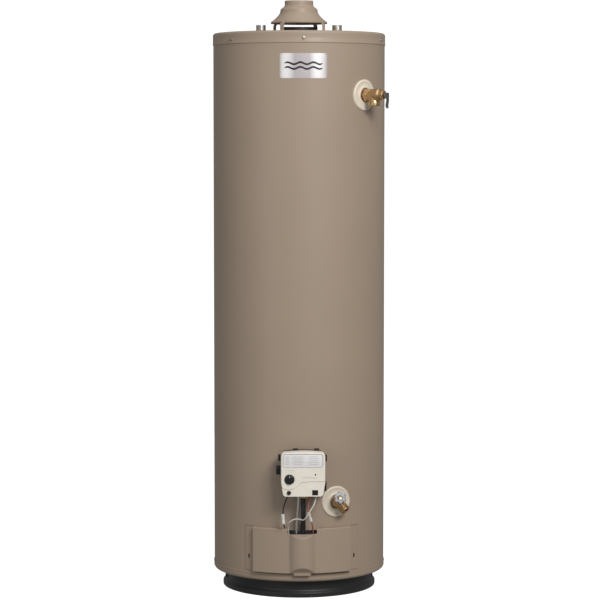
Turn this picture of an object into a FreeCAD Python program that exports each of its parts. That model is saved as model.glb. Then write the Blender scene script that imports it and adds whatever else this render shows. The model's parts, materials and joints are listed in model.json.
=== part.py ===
import FreeCAD, Part
import math
import os
import Sketcher

# A gas-fired storage water heater: a glass-lined steel tank with a centre flue, wrapped in foam and a
# painted sheet jacket, standing on a round base ring. Origin: tank axis at floor level. +Z up, -Y front.
# All lengths are in millimetres and all angles in degrees.

DIMENSIONS = [
    # overall shell
    ("overall_height", 1568.0, "floor to the top of the vent collar"),
    ("body_radius", 228.6, "outside of the jacket, an 18 inch body"),
    ("sheet", 0.9, "jacket and pan sheet"),
    ("pan_gap", 0.15, "clearance of a pan's rim over the jacket"),
    ("bead", 0.7, "how far a rolled hem stands out"),
    ("bead_height", 4.0, "height of a rolled hem"),
    ("top_pan_rim", 1449.0, "lower edge of the top pan's rim"),
    ("top_pan_top", 1481.0, "upper face of the top pan"),
    ("top_pan_corner", 7.0, "corner radius of the top pan"),
    ("base_pan_bottom", 47.0, "underside of the bottom pan"),
    ("base_pan_top", 68.0, "upper edge of the bottom pan"),
    ("base_pan_corner", 9.0, "corner radius of the bottom pan"),
    ("base_pan_inner", 188.0, "inner radius of the bottom pan"),
    ("jacket_bottom", 57.0, "lower edge of the jacket"),
    ("jacket_top", 1473.5, "upper edge of the jacket"),
    ("seam_width", 14.0, "lock seam down the back of the jacket"),
    # base ring
    ("ring_radius", 199.5, "outside of the base ring's wall"),
    ("ring_wall", 2.0, "base ring sheet"),
    ("ring_lip_radius", 205.0, "outside of the foot lip"),
    ("ring_lip_height", 12.0, "height of the foot lip"),
    ("ring_foot_inner", 190.0, "inner radius of the foot's rolled-in edge"),
    ("ring_flange_inner", 188.0, "inner radius of the ring's top flange"),
    ("slot_width", 36.0, "air intake slot"),
    ("slot_height", 9.0, "air intake slot"),
    ("slot_bottom", 24.0, "height of the intake slots"),
    # tank
    ("tank_radius", 203.0, "outside of the tank shell"),
    ("tank_wall", 2.0, "tank shell"),
    ("tank_bottom", 200.0, "lower weld of the tank shell"),
    ("tank_top", 1402.0, "upper weld of the tank shell"),
    ("head_flange", 22.0, "straight flange of a dished head"),
    ("head_rise", 46.0, "rise of a dished head from its flange to the flue"),
    ("head_crown", 300.0, "crown radius of a dished head"),
    ("head_wall", 2.4, "dished head sheet"),
    ("flue_radius", 48.0, "outside of the flue"),
    ("flue_wall", 2.5, "flue tube"),
    ("flue_bottom", 262.0, "lower end of the flue"),
    ("flue_top", 1497.0, "upper end of the flue"),
    ("spud_radius", 19.0, "outside of a threaded spud"),
    ("pipe_radius", 13.35, "3/4 inch pipe, outside"),
    ("pipe_bore", 10.4, "3/4 inch pipe, bore radius"),
    ("nipple_offset", 101.6, "water nipples stand 8 inches apart"),
    ("nipple_top", 1504.0, "upper end of the water nipples"),
    ("nipple_bottom", 1432.0, "lower end of the water nipples"),
    ("anode_offset", 118.0, "distance of the anode behind the axis"),
    ("anode_radius", 10.7, "anode rod"),
    # draft hood
    ("collar_radius", 38.1, "3 inch vent collar"),
    ("collar_height", 13.0, "straight part of the vent collar"),
    ("hood_shoulder_radius", 50.2, "shoulder under the collar"),
    ("hood_rim_radius", 75.2, "rim of the draft hood"),
    ("hood_rim_bottom", 1507.5, "lower edge of the draft hood"),
    ("hood_sheet", 0.9, "draft hood sheet"),
    ("leg_radius", 78.6, "inner face of the hood legs"),
    ("leg_width", 12.0, "hood leg"),
    ("leg_sheet", 1.2, "hood leg"),
    # side fittings
    ("relief_height", 1315.6, "axis of the relief valve"),
    ("relief_angle", 46.0, "relief valve, to the right of the front"),
    ("drain_height", 256.5, "axis of the drain valve"),
    ("drain_angle", 23.0, "drain valve, to the right of the front"),
    ("drain_roll", 28.0, "turn of the drain valve on its thread"),
    ("ring_outer", 40.6, "cover ring round a side fitting"),
    ("ring_hole", 18.5, "hole of a cover ring"),
    ("ring_thick", 4.6, "cover ring"),
    # gas control
    ("control_bottom", 285.0, "lower edge of the gas control's cover"),
    ("cover_width", 113.6, "gas control cover"),
    ("cover_height", 114.0, "gas control cover, at its corners"),
    ("cover_back", 271.0, "back edge of the cover, from the tank axis"),
    ("cover_front", 309.2, "front face of the cover, from the tank axis"),
    ("cover_wall", 2.5, "cover wall"),
    ("control_axis", 62.0, "height of the threaded shank in the control"),
    ("knob_radius", 12.0, "temperature knob"),
    ("knob_x", -35.4, "knob, left of the control's middle"),
    ("knob_y", 44.7, "knob, above the control's lower edge"),
    # access door
    ("door_bottom", 72.0, "lower edge of the access door"),
    ("door_top", 190.0, "upper edge of the access door"),
    ("door_span", 65.0, "angle that the raised panel covers"),
    ("door_flange_span", 80.0, "angle that the door's flanges reach"),
    ("door_depth", 14.0, "how far the panel stands off the jacket"),
    ("door_sheet", 1.0, "door sheet"),
    ("bulge_radius", 41.0, "tube channel down the middle of the door"),
    ("bulge_depth", 13.0, "how far the channel stands off the panel"),
    # burner compartment
    ("opening_span", 58.0, "angle of the jacket's burner opening"),
    ("opening_bottom", 80.0, "lower edge of the burner opening"),
    ("opening_top", 184.0, "upper edge of the burner opening"),
    ("manifold_height", 118.0, "gas inlet of the burner"),
    ("manifold_x", 2.0, "gas inlet of the burner"),
    ("pilot_x", -15.0, "pilot tube where it goes in"),
    ("pilot_height", 136.0, "pilot tube where it goes in"),
    ("lead_radius", 1.6, "insulated lead"),
]

doc = FreeCAD.newDocument("WaterHeater")
V = FreeCAD.Vector
PIECES = []


# ---- the sheet of driving dimensions, and sums of its cells ------------------------------------------

class Size:
    """A length with its value and the expression that gives it, so that sums of cells stay bound."""

    def __init__(self, value, text):
        self.value = value
        self.text = text

    def __add__(self, other):
        return Size(self.value + number(other), f"({self.text} + {written(other)})")

    def __sub__(self, other):
        return Size(self.value - number(other), f"({self.text} - {written(other)})")

    def __mul__(self, other):
        return Size(self.value * number(other), f"({self.text} * {written(other)})")

    def __truediv__(self, other):
        return Size(self.value / number(other), f"({self.text} / {written(other)})")

    def __neg__(self):
        return Size(-self.value, f"(-{self.text})")

    def __radd__(self, other):
        return self + other

    def __rsub__(self, other):
        return Size(number(other) - self.value, f"({written(other)} - {self.text})")

    def __rmul__(self, other):
        return self * other


def number(size):
    return size.value if isinstance(size, Size) else float(size)


def written(size):
    return size.text if isinstance(size, Size) else repr(float(size))


class Dims:
    """The driving dimensions by name, each bound to its cell."""


def make_sheet():
    sheet = doc.addObject("Spreadsheet::Sheet", "Dims")
    dims = Dims()
    for row, (alias, value, note) in enumerate(DIMENSIONS, start=1):
        sheet.set(f"A{row}", alias)
        sheet.set(f"B{row}", repr(value))
        sheet.set(f"C{row}", note)
        sheet.setAlias(f"B{row}", alias)
        setattr(dims, alias, Size(value, f"Dims.{alias}"))
    doc.recompute()
    return dims


d = make_sheet()


def bind(obj, name, size):
    """Sets a property or a constraint, and keeps it tied to the sheet when the size comes from there."""
    if not name.startswith("Constraints"):
        setattr(obj, name, number(size))
    if isinstance(size, Size):
        obj.setExpression(name, size.text)


# ---- places ----------------------------------------------------------------------------------------------

def at(x=0, y=0, z=0, axis=(0, 0, 1), turn=0):
    """A placement at a point, turned about an axis."""
    place = V(number(x), number(y), number(z))
    return FreeCAD.Placement(place, FreeCAD.Rotation(V(*axis), number(turn)))


def outward(angle, height, roll=0):
    """A side fitting's frame: local Z points outward from the tank axis at an angle right of the front,
    local Y up, and roll turns the fitting on its own axis. Local Z is measured from the tank axis."""
    a = math.radians(number(angle))
    side, up, out = V(math.cos(a), math.sin(a), 0), V(0, 0, 1), V(math.sin(a), -math.cos(a), 0)
    turn = FreeCAD.Rotation(side, up, out, "ZXY")
    place = FreeCAD.Placement(V(0, 0, number(height)), turn)
    return place * at(turn=roll)


def tilted(place, y, z, tilt):
    """A frame inside another: moved by y and z, with its Z tilted up by an angle from the old Z."""
    return place * at(0, y, z, (1, 0, 0), -tilt)


# ---- pieces --------------------------------------------------------------------------------------------------

def keep(label, obj):
    """Names a finished sub-part. Its label is its file's name."""
    obj.Label = label
    PIECES.append(obj)
    return obj


def place(obj, placement):
    if placement is not None:
        obj.Placement = placement
    return obj


def cylinder(radius, height, placement=None, angle=360):
    obj = doc.addObject("Part::Cylinder", "Cylinder")
    bind(obj, "Radius", radius)
    bind(obj, "Height", height)
    bind(obj, "Angle", angle)
    return place(obj, placement)


def cone(radius_low, radius_high, height, placement=None):
    obj = doc.addObject("Part::Cone", "Cone")
    bind(obj, "Radius1", radius_low)
    bind(obj, "Radius2", radius_high)
    bind(obj, "Height", height)
    return place(obj, placement)


def box(length, width, height, placement=None):
    """A box whose length and width are centred on its place, and which rises from there."""
    obj = doc.addObject("Part::Box", "Box")
    bind(obj, "Length", length)
    bind(obj, "Width", width)
    bind(obj, "Height", height)
    centred = at(-number(length) / 2, -number(width) / 2, 0)
    return place(obj, (placement or at()) * centred)


def hexagon(across_flats, height, placement=None):
    obj = doc.addObject("Part::Prism", "Prism")
    obj.Polygon = 6
    bind(obj, "Circumradius", across_flats / math.sqrt(3))
    bind(obj, "Height", height)
    return place(obj, placement)


def fuse(*shapes):
    obj = doc.addObject("Part::MultiFuse", "Fusion")
    obj.Shapes = list(shapes)
    return obj


def cut(base, *tools):
    for tool in tools:
        obj = doc.addObject("Part::Cut", "Cut")
        obj.Base = base
        obj.Tool = tool
        base = obj
    return base


def common(first, second):
    obj = doc.addObject("Part::Common", "Common")
    obj.Base = first
    obj.Tool = second
    return obj


def made(shape, placement=None):
    """A shape made by Part's own functions, for what no feature gives, such as copies and tube routes."""
    obj = doc.addObject("Part::Feature", "Made")
    obj.Shape = shape
    return place(obj, placement)


def copies(obj, placements):
    """Separate copies of one piece, as a group of solids."""
    doc.recompute()
    shapes = []
    for placement in placements:
        shape = obj.Shape.copy()
        shape.Placement = placement * shape.Placement
        shapes.append(shape)
    return made(Part.makeCompound(shapes))


def round_axis(angles):
    return [at(turn=angle) for angle in angles]


def arc_geometry(start, end, radius):
    """An arc of a circle from start to end: counter-clockwise for a positive radius."""
    chord = end - start
    side = math.copysign(1, radius)
    normal = V(-chord.y, chord.x, 0).normalize()
    reach = math.sqrt(max(radius * radius - chord.Length ** 2 / 4, 0))
    centre = (start + end) * 0.5 + normal * (side * reach)
    first, last = (start, end) if radius > 0 else (end, start)
    angles = [math.atan2(p.y - centre.y, p.x - centre.x) for p in (first, last)]
    return Part.ArcOfCircle(Part.Circle(centre, V(0, 0, 1), abs(radius)), *angles)


def draw(sketch, outline):
    """Draws a closed outline of corners (x, y) or (x, y, arc radius to the next corner), each bound."""
    corners = [(c + (None,))[:3] for c in outline]
    count = len(corners)
    points = [V(number(x), number(y), 0) for x, y, _ in corners]
    begins, ends = [], []
    for i, (_, _, arc) in enumerate(corners):
        after = points[(i + 1) % count]
        if arc is None:
            sketch.addGeometry(Part.LineSegment(points[i], after))
        else:
            sketch.addGeometry(arc_geometry(points[i], after, number(arc)))
        clockwise = arc is not None and number(arc) < 0
        begins.append(2 if clockwise else 1)
        ends.append(1 if clockwise else 2)
    for i in range(count):
        after = (i + 1) % count
        sketch.addConstraint(Sketcher.Constraint("Coincident", i, ends[i], after, begins[after]))
    for i, (x, y, arc) in enumerate(corners):
        for kind, size, axis in (("DistanceX", x, -2), ("DistanceY", y, -1)):
            if number(size) == 0:
                sketch.addConstraint(Sketcher.Constraint("PointOnObject", i, begins[i], axis))
                continue
            rule = Sketcher.Constraint(kind, -1, 1, i, begins[i], number(size))
            bind(sketch, f"Constraints[{sketch.addConstraint(rule)}]", size)
        if arc is not None:
            size = arc if number(arc) > 0 else -arc
            rule = Sketcher.Constraint("Radius", i, number(size))
            bind(sketch, f"Constraints[{sketch.addConstraint(rule)}]", size)


def sketch_on(body, role, outline, offset=0):
    sketch = body.newObject("Sketcher::SketchObject", "Sketch")
    plane = [o for o in body.Origin.OriginFeatures if o.Role == role][0]
    sketch.AttachmentSupport = [(plane, "")]
    sketch.MapMode = "FlatFace"
    sketch.AttachmentOffset = at(0, 0, offset)
    draw(sketch, outline)
    return sketch


def turned(outline, placement=None):
    """A body of revolution about its own Z. The outline's corners are (radius, height)."""
    body = doc.addObject("PartDesign::Body", "Turned")
    sketch = sketch_on(body, "XZ_Plane", outline)
    spin = body.newObject("PartDesign::Revolution", "Revolution")
    spin.Profile = sketch
    spin.ReferenceAxis = (sketch, ["V_Axis"])
    spin.Angle = 360
    return place(body, placement)


def plate(outline, thickness, placement=None):
    """A body padded up from an outline in its own XY plane."""
    body = doc.addObject("PartDesign::Body", "Plate")
    pad = body.newObject("PartDesign::Pad", "Pad")
    pad.Profile = sketch_on(body, "XY_Plane", outline)
    bind(pad, "Length", thickness)
    return place(body, placement)


def pocket(body, outline, floor, depth):
    """Cuts an outline out of a plate body, from the height floor up over depth."""
    sketch = sketch_on(body, "XY_Plane", outline, floor)
    feature = body.newObject("PartDesign::Pocket", "Pocket")
    feature.Profile = sketch
    feature.Reversed = True
    bind(feature, "Length", depth)
    before = body.Tip
    body.Tip = feature
    doc.recompute()
    assert feature.Shape.Volume < before.Shape.Volume - 1e-3, "a pocket cut nothing"
    return feature


def fillet(body, radius, chosen):
    """Rounds the edges of a body's last feature that the test picks."""
    doc.recompute()
    base = body.Tip
    names = [f"Edge{i}" for i, edge in enumerate(base.Shape.Edges, start=1) if chosen(edge)]
    feature = body.newObject("PartDesign::Fillet", "Fillet")
    feature.Base = (base, names)
    bind(feature, "Radius", radius)
    body.Tip = feature
    return feature


def shell(outer, wall, lift=0):
    """The closed outline of a thin turned sheet: the outer line, and the same line moved in by wall."""
    corners = [(c + (None,))[:3] for c in outer]
    back = []
    for i in range(len(corners) - 1, -1, -1):
        r, z, _ = corners[i]
        arc = corners[i - 1][2] if i else None
        back.append((r - wall, z - lift, None if arc is None else -arc))
    return [tuple(x for x in c if x is not None) for c in corners + back]


def sector(inner, outer, low, high, span, middle=0):
    """A piece of a round wall between two radii and two heights, over an angle about the front."""
    start = at(0, 0, low, turn=number(middle) - 90 - number(span) / 2)
    return cut(cylinder(outer, high - low, start, span), cylinder(inner, high - low, start, span))


def rectangle(width, height, x=0, y=0):
    return [(x - width / 2, y - height / 2), (x + width / 2, y - height / 2),
            (x + width / 2, y + height / 2), (x - width / 2, y + height / 2)]


def rounded(width, height, corner, x=0, y=0):
    """A rectangle with round corners, counter-clockwise."""
    a, b = width / 2, height / 2
    return [(x - a + corner, y - b), (x + a - corner, y - b, corner), (x + a, y - b + corner),
            (x + a, y + b - corner, corner), (x + a - corner, y + b), (x - a + corner, y + b, corner),
            (x - a, y + b - corner), (x - a, y - b + corner, corner)]


def route_wire(points, bend=None):
    """Straight runs joined by tangent arcs. Without a bend radius each arc is as large as its runs allow."""
    points = [V(*(number(c) for c in p)) for p in points]
    runs = [points[i + 1] - points[i] for i in range(len(points) - 1)]
    edges, radii, begin = [], [], points[0]
    for i in range(1, len(points) - 1):
        before, after = runs[i - 1], runs[i]
        turn = before.getAngle(after)
        reach = 0.45 * min(before.Length, after.Length)
        radius = bend or reach / math.tan(turn / 2)
        back = radius * math.tan(turn / 2)
        enter = points[i] - before.normalize() * back
        leave = points[i] + V(after).normalize() * back
        runs[i] = points[i + 1] - points[i]
        inward = (enter + leave) * 0.5 - points[i]
        centre_gap = radius / math.cos(turn / 2)
        middle = points[i] + inward.normalize() * (centre_gap - radius)
        edges.append(Part.LineSegment(begin, enter).toShape())
        edges.append(Part.Arc(enter, middle, leave).toShape())
        radii.append(round(radius, 1))
        begin = leave
    edges.append(Part.LineSegment(begin, points[-1]).toShape())
    return Part.Wire(edges), radii


def tube(points, radius, bore=0, bend=None, name=""):
    """A round tube or lead along a route."""
    wire, radii = route_wire(points, bend)
    start, along = V(*(number(c) for c in points[0])), wire.Edges[0].tangentAt(0)

    def swept(r):
        ring = Part.Wire(Part.makeCircle(number(r), start, along))
        return wire.makePipeShell([ring], True, False)

    shape = swept(radius)
    expected = math.pi * number(radius) ** 2 * wire.Length
    assert abs(shape.Volume / expected - 1) < 0.01, f"{name} has the wrong volume"
    if bore:
        shape = shape.cut(swept(bore))
    print(f"{name}: length {wire.Length:.0f}, bend radii {radii}")
    return made(shape)


# ---- outer shell -------------------------------------------------------------------------------------------

OUTER = d.body_radius + d.pan_gap + d.sheet
BEAD_ARC = (d.bead_height * d.bead_height / 4 + d.bead * d.bead) / (d.bead * 2)
FRONT = (1, 0, 0)  # a quarter turn about this axis stands a plate up, facing the front
PAN_SCREWS = (-52, 1, 68, 128, 180, -112)
PAN_SCREW_HEIGHT = 1461.4


def facing_front(x, y, z):
    """A plate's own X to the right, its Y up and its thickness towards the front."""
    return at(x, -number(y), z, FRONT, 90)


def side_frame(angle):
    """A plate's own X outward from the tank axis, its Y up, its thickness across."""
    a = math.radians(angle)
    out, up = V(math.sin(a), -math.cos(a), 0), V(0, 0, 1)
    return FreeCAD.Placement(V(0, 0, 0), FreeCAD.Rotation(out, up, out.cross(up), "XYZ"))


def base_ring():
    r, wall, lip = d.ring_radius, d.ring_wall, d.ring_lip_radius
    top = d.base_pan_bottom
    ring = turned([(d.ring_foot_inner, 0), (lip, 0), (lip, d.ring_lip_height), (r, d.ring_lip_height + 7),
                   (r, top), (d.ring_flange_inner, top), (d.ring_flange_inner, top - wall),
                   (r - wall, top - wall), (r - wall, d.ring_lip_height + 6),
                   (lip - wall, d.ring_lip_height - 1), (lip - wall, wall), (d.ring_foot_inner, wall)])
    slot = box(d.slot_width, 30, d.slot_height, at(0, -number(r), d.slot_bottom))
    slots = copies(slot, round_axis(range(80, 281, 20)))
    return cut(ring, slots)


def bottom_pan():
    low, top, c, sheet = d.base_pan_bottom, d.base_pan_top, d.base_pan_corner, d.sheet
    return turned([(d.base_pan_inner, low), (OUTER - c, low, c), (OUTER, low + c),
                   (OUTER, top - d.bead_height, BEAD_ARC), (OUTER, top), (OUTER - sheet, top),
                   (OUTER - sheet, low + c, -(c - sheet)), (OUTER - c, low + sheet),
                   (d.base_pan_inner, low + sheet)])


def screw_holes(radius):
    return copies(cylinder(radius, 20, outward(0, PAN_SCREW_HEIGHT) * at(0, 0, 220)),
                  round_axis(PAN_SCREWS))


def side_hole(angle, height, radius, near=190, reach=60):
    return cylinder(radius, reach, outward(angle, height) * at(0, 0, near))


def control_height():
    return d.control_bottom + d.control_axis


def jacket():
    r, sheet = d.body_radius, d.sheet
    wall = turned([(r - sheet, d.jacket_bottom), (r, d.jacket_bottom), (r, d.jacket_top),
                   (r - sheet, d.jacket_top)])
    opening = sector(r - 10, r + 10, d.opening_bottom, d.opening_top, d.opening_span)
    body = cut(wall, opening, side_hole(0, control_height(), 24), screw_holes(2.15),
               side_hole(d.drain_angle, d.drain_height, 16),
               side_hole(d.relief_angle, d.relief_height, 16))
    seam = sector(r, r + 1.1, 72, 1446, 3.5, 180)
    return fuse(body, seam)


def top_pan():
    low, top, c, sheet = d.top_pan_rim, d.top_pan_top, d.top_pan_corner, d.sheet
    pan = turned([(OUTER - sheet, low), (OUTER, low, BEAD_ARC), (OUTER, low + d.bead_height),
                  (OUTER, top - c, c), (OUTER - c, top), (52, top), (52, top - sheet),
                  (OUTER - c, top - sheet, -(c - sheet)), (OUTER - sheet, top - c)])
    holes = [cylinder(d.pipe_radius + 1.2, 40, at(x, 0, 1460))
             for x in (d.nipple_offset, -d.nipple_offset)]
    anode = cylinder(22, 40, at(0, d.anode_offset, 1460))
    return cut(pan, *holes, anode, screw_holes(2.15), rivet_holes())


def sheet_screw():
    """A hex washer screw with its seat at local Z 0, its tip below."""
    stem = turned([(0, -7), (2, -5), (2, 0), (5.2, 0), (5.2, 1), (3.4, 1.2), (3.4, 3.6), (0, 3.6)])
    return fuse(stem, hexagon(7, 3.8, at(0, 0, 0.6)))


def top_pan_screws():
    seat = number(OUTER)
    return copies(sheet_screw(), [outward(a, PAN_SCREW_HEIGHT) * at(0, 0, seat) for a in PAN_SCREWS])


def foam_insulation():
    r_in, r_out = d.tank_radius + 0.4, d.body_radius - d.sheet
    block = turned([(r_in, d.tank_bottom + 2), (r_out, d.tank_bottom + 2), (r_out, d.jacket_top),
                    (56, d.jacket_top), (56, d.tank_top + 56), (190, d.tank_top + 30),
                    (r_in, d.tank_top + 16)])
    wells = [cylinder(21, 90, at(x, y, 1400)) for x, y in
             ((d.nipple_offset, 0), (-d.nipple_offset, 0), (0, d.anode_offset))]
    fittings = [side_hole(0, control_height(), 24), side_hole(d.drain_angle, d.drain_height, 20),
                side_hole(d.relief_angle, d.relief_height, 20)]
    return cut(block, *wells, *fittings, screw_holes(2.15))


def chamber_insulation():
    blanket = cylinder(d.body_radius - d.sheet, d.tank_bottom - d.jacket_bottom, at(0, 0, d.jacket_bottom))
    core = cylinder(d.tank_radius + 0.4, d.tank_bottom, at(0, 0, 40))
    gap = sector(d.tank_radius - 10, d.body_radius + 10, 40, d.tank_bottom + 1, 62)
    return cut(blanket, core, gap)


def name_plate():
    span = 123.0 / 228.6 * 180 / math.pi
    return sector(d.body_radius, d.body_radius + 0.4, 1358, 1422, span, 1)


# ---- tank ----------------------------------------------------------------------------------------------------

def side_spud(angle, height):
    """A threaded spud welded in the tank wall, and its bore."""
    frame = outward(angle, height)
    return (cylinder(d.spud_radius, 13, frame * at(0, 0, 196.5)),
            cylinder(d.pipe_radius, 40, frame * at(0, 0, 185)))


def tank_shell():
    r, wall = d.tank_radius, d.tank_wall
    shell_body = turned([(r - wall, d.tank_bottom), (r, d.tank_bottom), (r, d.tank_top),
                         (r - wall, d.tank_top)])
    fittings = [side_spud(0, control_height()), side_spud(d.drain_angle, d.drain_height),
                side_spud(d.relief_angle, d.relief_height)]
    return cut(fuse(shell_body, *[spud for spud, _ in fittings]), *[bore for _, bore in fittings])


def dished_head(weld, flange_from, flange_to):
    """A dished head, crowned upward, with its hole for the flue."""
    r, wall = d.tank_radius - d.tank_wall, d.head_wall
    crown, hole = d.head_crown, d.flue_radius
    return turned([(r - wall, flange_from), (r, flange_from), (r, flange_to, crown),
                   (hole, weld + d.head_rise), (hole, weld + d.head_rise - wall, -crown),
                   (r - wall, flange_to - 0.8)])


def tank_top_head():
    head = dished_head(d.tank_top, d.tank_top - d.head_flange, d.tank_top)
    spuds, bores = [], []
    for x, y in ((d.nipple_offset, 0), (-d.nipple_offset, 0), (0, d.anode_offset)):
        spuds.append(cylinder(d.spud_radius, 22, at(x, y, 1430)))
        bores.append(cylinder(d.pipe_radius, 60, at(x, y, 1410)))
    return cut(fuse(head, *spuds), *bores)


def tank_bottom_head():
    weld = d.tank_bottom + 13 + d.head_flange
    return dished_head(weld, weld - d.head_flange, weld)


def flue_tube():
    r, wall = d.flue_radius, d.flue_wall
    return turned([(r - wall, d.flue_bottom), (r, d.flue_bottom), (r, d.flue_top),
                   (r - wall, d.flue_top)])


def flue_baffle():
    top = number(d.flue_top)
    strip = box(70, 1.4, 760, at(0, 0, top - 760))
    hanger = box(d.flue_radius * 2 - 1, 12, 2, at(0, 0, d.flue_top))
    fins = []
    for i in range(14):
        side = 1 if i % 2 else -1
        fins.append(box(46, 1.4, 30, at(0, 0, top - 60 - 50 * i, (1, 0, 0), 48 * side)))
    return fuse(strip, hanger, *fins)


def combustion_skirt():
    r, wall = d.tank_radius, d.tank_wall
    low = d.base_pan_bottom + d.sheet
    ring = turned([(r - wall, low), (r, low), (r, d.tank_bottom), (r - wall, d.tank_bottom)])
    return cut(ring, sector(r - 10, r + 10, 90, 172, 42))


def chamber_floor():
    low = d.base_pan_bottom + d.sheet
    r = d.tank_radius - d.tank_wall - 0.3
    return turned([(132, low), (r, low), (r, low + 2), (132, low + 2)])


def flame_arrestor():
    low = d.base_pan_bottom + d.sheet + 2
    disc = cylinder(148, 4, at(0, 0, low))
    hole = cylinder(4, 12, at(0, 0, low - 4))
    places = []
    for ring in range(1, 7):
        for k in range(6 * ring):
            a = 2 * math.pi * k / (6 * ring)
            places.append(at(20 * ring * math.cos(a), 20 * ring * math.sin(a), 0))
    return cut(disc, copies(hole, places))


# ---- flue outlet and water connections ---------------------------------------------------------------------

def hood_outline():
    top, collar, sheet = d.overall_height, d.collar_radius, d.hood_sheet
    shoulder, rim, low = d.hood_shoulder_radius, d.hood_rim_radius, d.hood_rim_bottom
    neck, flare = top - d.collar_height, 33.6
    outer = [(collar, top), (collar, neck, 9), (collar + 4.5, neck - 4.2), (shoulder - 3, neck - 8, -7),
             (shoulder, neck - 13.5), (shoulder, neck - 17, flare), (rim, low + 4), (rim, low)]
    inner = [(rim - sheet, low), (rim - sheet, low + 4 - 0.6, -(flare + 0.9)),
             (shoulder - sheet, neck - 17), (shoulder - sheet, neck - 13.5, 6.1),
             (shoulder - 3 - 0.7, neck - 8 - 0.8), (collar + 3.9, neck - 4.9, -9.9),
             (collar - sheet, neck), (collar - sheet, top)]
    return outer + inner


LEG_ANGLES = (-36.5, 53.5, 143.5, 233.5)


def hood_rivet_places():
    rim = [outward(a, d.hood_rim_bottom + 2) * at(0, 0, d.hood_rim_radius + d.leg_sheet)
           for a in LEG_ANGLES]
    foot = [at(turn=a) * at(0, -87, number(d.top_pan_top + d.leg_sheet)) for a in LEG_ANGLES]
    return rim + foot


def rivet_holes():
    return copies(cylinder(1.65, 12, at(0, 0, -8)), hood_rivet_places())


def draft_hood():
    return cut(turned(hood_outline()), rivet_holes())


def draft_hood_legs():
    r, t, foot = d.leg_radius, d.leg_sheet, d.top_pan_top
    rim, low = d.hood_rim_radius, d.hood_rim_bottom
    outline = [(r, foot), (95, foot), (95, foot + t), (r + t, foot + t), (r + t, low - 5),
               (rim + t, low - 1), (rim + t, low + 4.5), (rim, low + 4.5), (rim, low - 1.4),
               (r, low - 5.4)]
    leg = plate([(number(x), number(y)) for x, y in outline], d.leg_width,
                side_frame(0) * at(0, 0, -number(d.leg_width) / 2))
    legs = copies(leg, round_axis(LEG_ANGLES))
    return cut(legs, rivet_holes())


def draft_hood_rivets():
    rivet = turned([(0, -3.2), (1.6, -3.2), (1.6, 0), (3.1, 0), (2.3, 1.1), (0, 1.5)])
    return copies(rivet, hood_rivet_places())


def nipple(x):
    """A pipe nipple: its tapered lower thread in the tank's spud, its upper thread above the top pan."""
    r, bore, low, top = d.pipe_radius, d.pipe_bore, d.nipple_bottom, d.nipple_top
    return turned([(bore, low), (12.6, low), (r - 0.02, 1451), (13, 1453), (13, 1481.5), (r, 1482),
                   (r, top - 1.6), (r - 1.4, top), (bore, top)], at(x, 0, 0))


def heat_trap_liners():
    r, top = d.pipe_bore, d.nipple_top
    liner = turned([(8.6, 1452), (r, 1452), (r, top - 0.6), (8.6, top - 0.6)])
    return copies(liner, [at(d.nipple_offset), at(-d.nipple_offset)])


def dip_tube():
    return turned([(7.6, 330), (9, 330), (9, 1446), (d.pipe_bore, 1446), (d.pipe_bore, 1449),
                   (7.6, 1449)], at(d.nipple_offset))


def anode_rod():
    rod = turned([(0, 380), (d.anode_radius, 382), (d.anode_radius, 1430), (d.pipe_radius, 1430),
                  (d.pipe_radius, 1453), (0, 1453)])
    head = hexagon(27, 16, at(0, 0, 1452))
    return place(fuse(rod, head), at(0, d.anode_offset, 0))


# ---- relief valve ------------------------------------------------------------------------------------------

RELIEF = outward(d.relief_angle, d.relief_height)
RELIEF_PIN = 303.0
RELIEF_OUTLET = 262.0


def cover_ring(angle, height):
    """A moulded ring that hides a jacket hole and follows the jacket's curve."""
    frame = outward(angle, height)
    r_in = d.body_radius
    disc = cut(cylinder(d.ring_outer, 60, frame * at(0, 0, 190)),
               cylinder(d.ring_hole, 70, frame * at(0, 0, 185)))
    skin = turned([(r_in, height - 60), (r_in + d.ring_thick, height - 60),
                   (r_in + d.ring_thick, height + 60), (r_in, height + 60)])
    lip = cut(cylinder(d.ring_outer, 60, frame * at(0, 0, 190)),
              cylinder(d.ring_outer - 5, 70, frame * at(0, 0, 185)))
    top = turned([(r_in + d.ring_thick - 1.6, height - 60), (r_in + d.ring_thick + 3, height - 60),
                  (r_in + d.ring_thick + 3, height + 60), (r_in + d.ring_thick - 1.6, height + 60)])
    return cut(common(disc, skin), common(lip, top))


def relief_valve_body():
    inlet = turned([(0, 195), (12.3, 195), (13.35, 198), (13.35, 236), (0, 236)])
    barrel = turned([(0, 245), (14.5, 245), (16, 246.9), (16, 281), (14, 283.5), (11.5, 284.5),
                     (11.5, 296), (10.5, 297), (0, 297)])
    down = at(0, 0, RELIEF_OUTLET, (1, 0, 0), 90)
    outlet = turned([(0, -4.3), (14, -4.3), (14, 20), (15.4, 21), (15.4, 27.6), (14.4, 28.6), (0, 28.6)], down)
    solid = fuse(inlet, hexagon(31, 11, at(0, 0, 235)), barrel, outlet)
    inside = turned([(0, 190), (8, 190), (8, 248), (11, 248), (11, 289), (2.55, 289), (2.55, 300), (0, 300)])
    way = fuse(cylinder(8, 24, down * at(0, 0, -2.7)), cylinder(12, 17, down * at(0, 0, 12.6)))
    return place(cut(solid, inside, way), RELIEF)


def relief_stem():
    stem = turned([(0, 248), (9.5, 248), (9.5, 251), (2.5, 252), (2.5, 301), (0, 301)])
    eye = fuse(stem, cylinder(3.7, 5.8, at(-2.9, 0, RELIEF_PIN, (0, 1, 0), 90)))
    hole = cylinder(1.65, 20, at(-10, 0, RELIEF_PIN, (0, 1, 0), 90))
    return place(cut(eye, hole), RELIEF)


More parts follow.
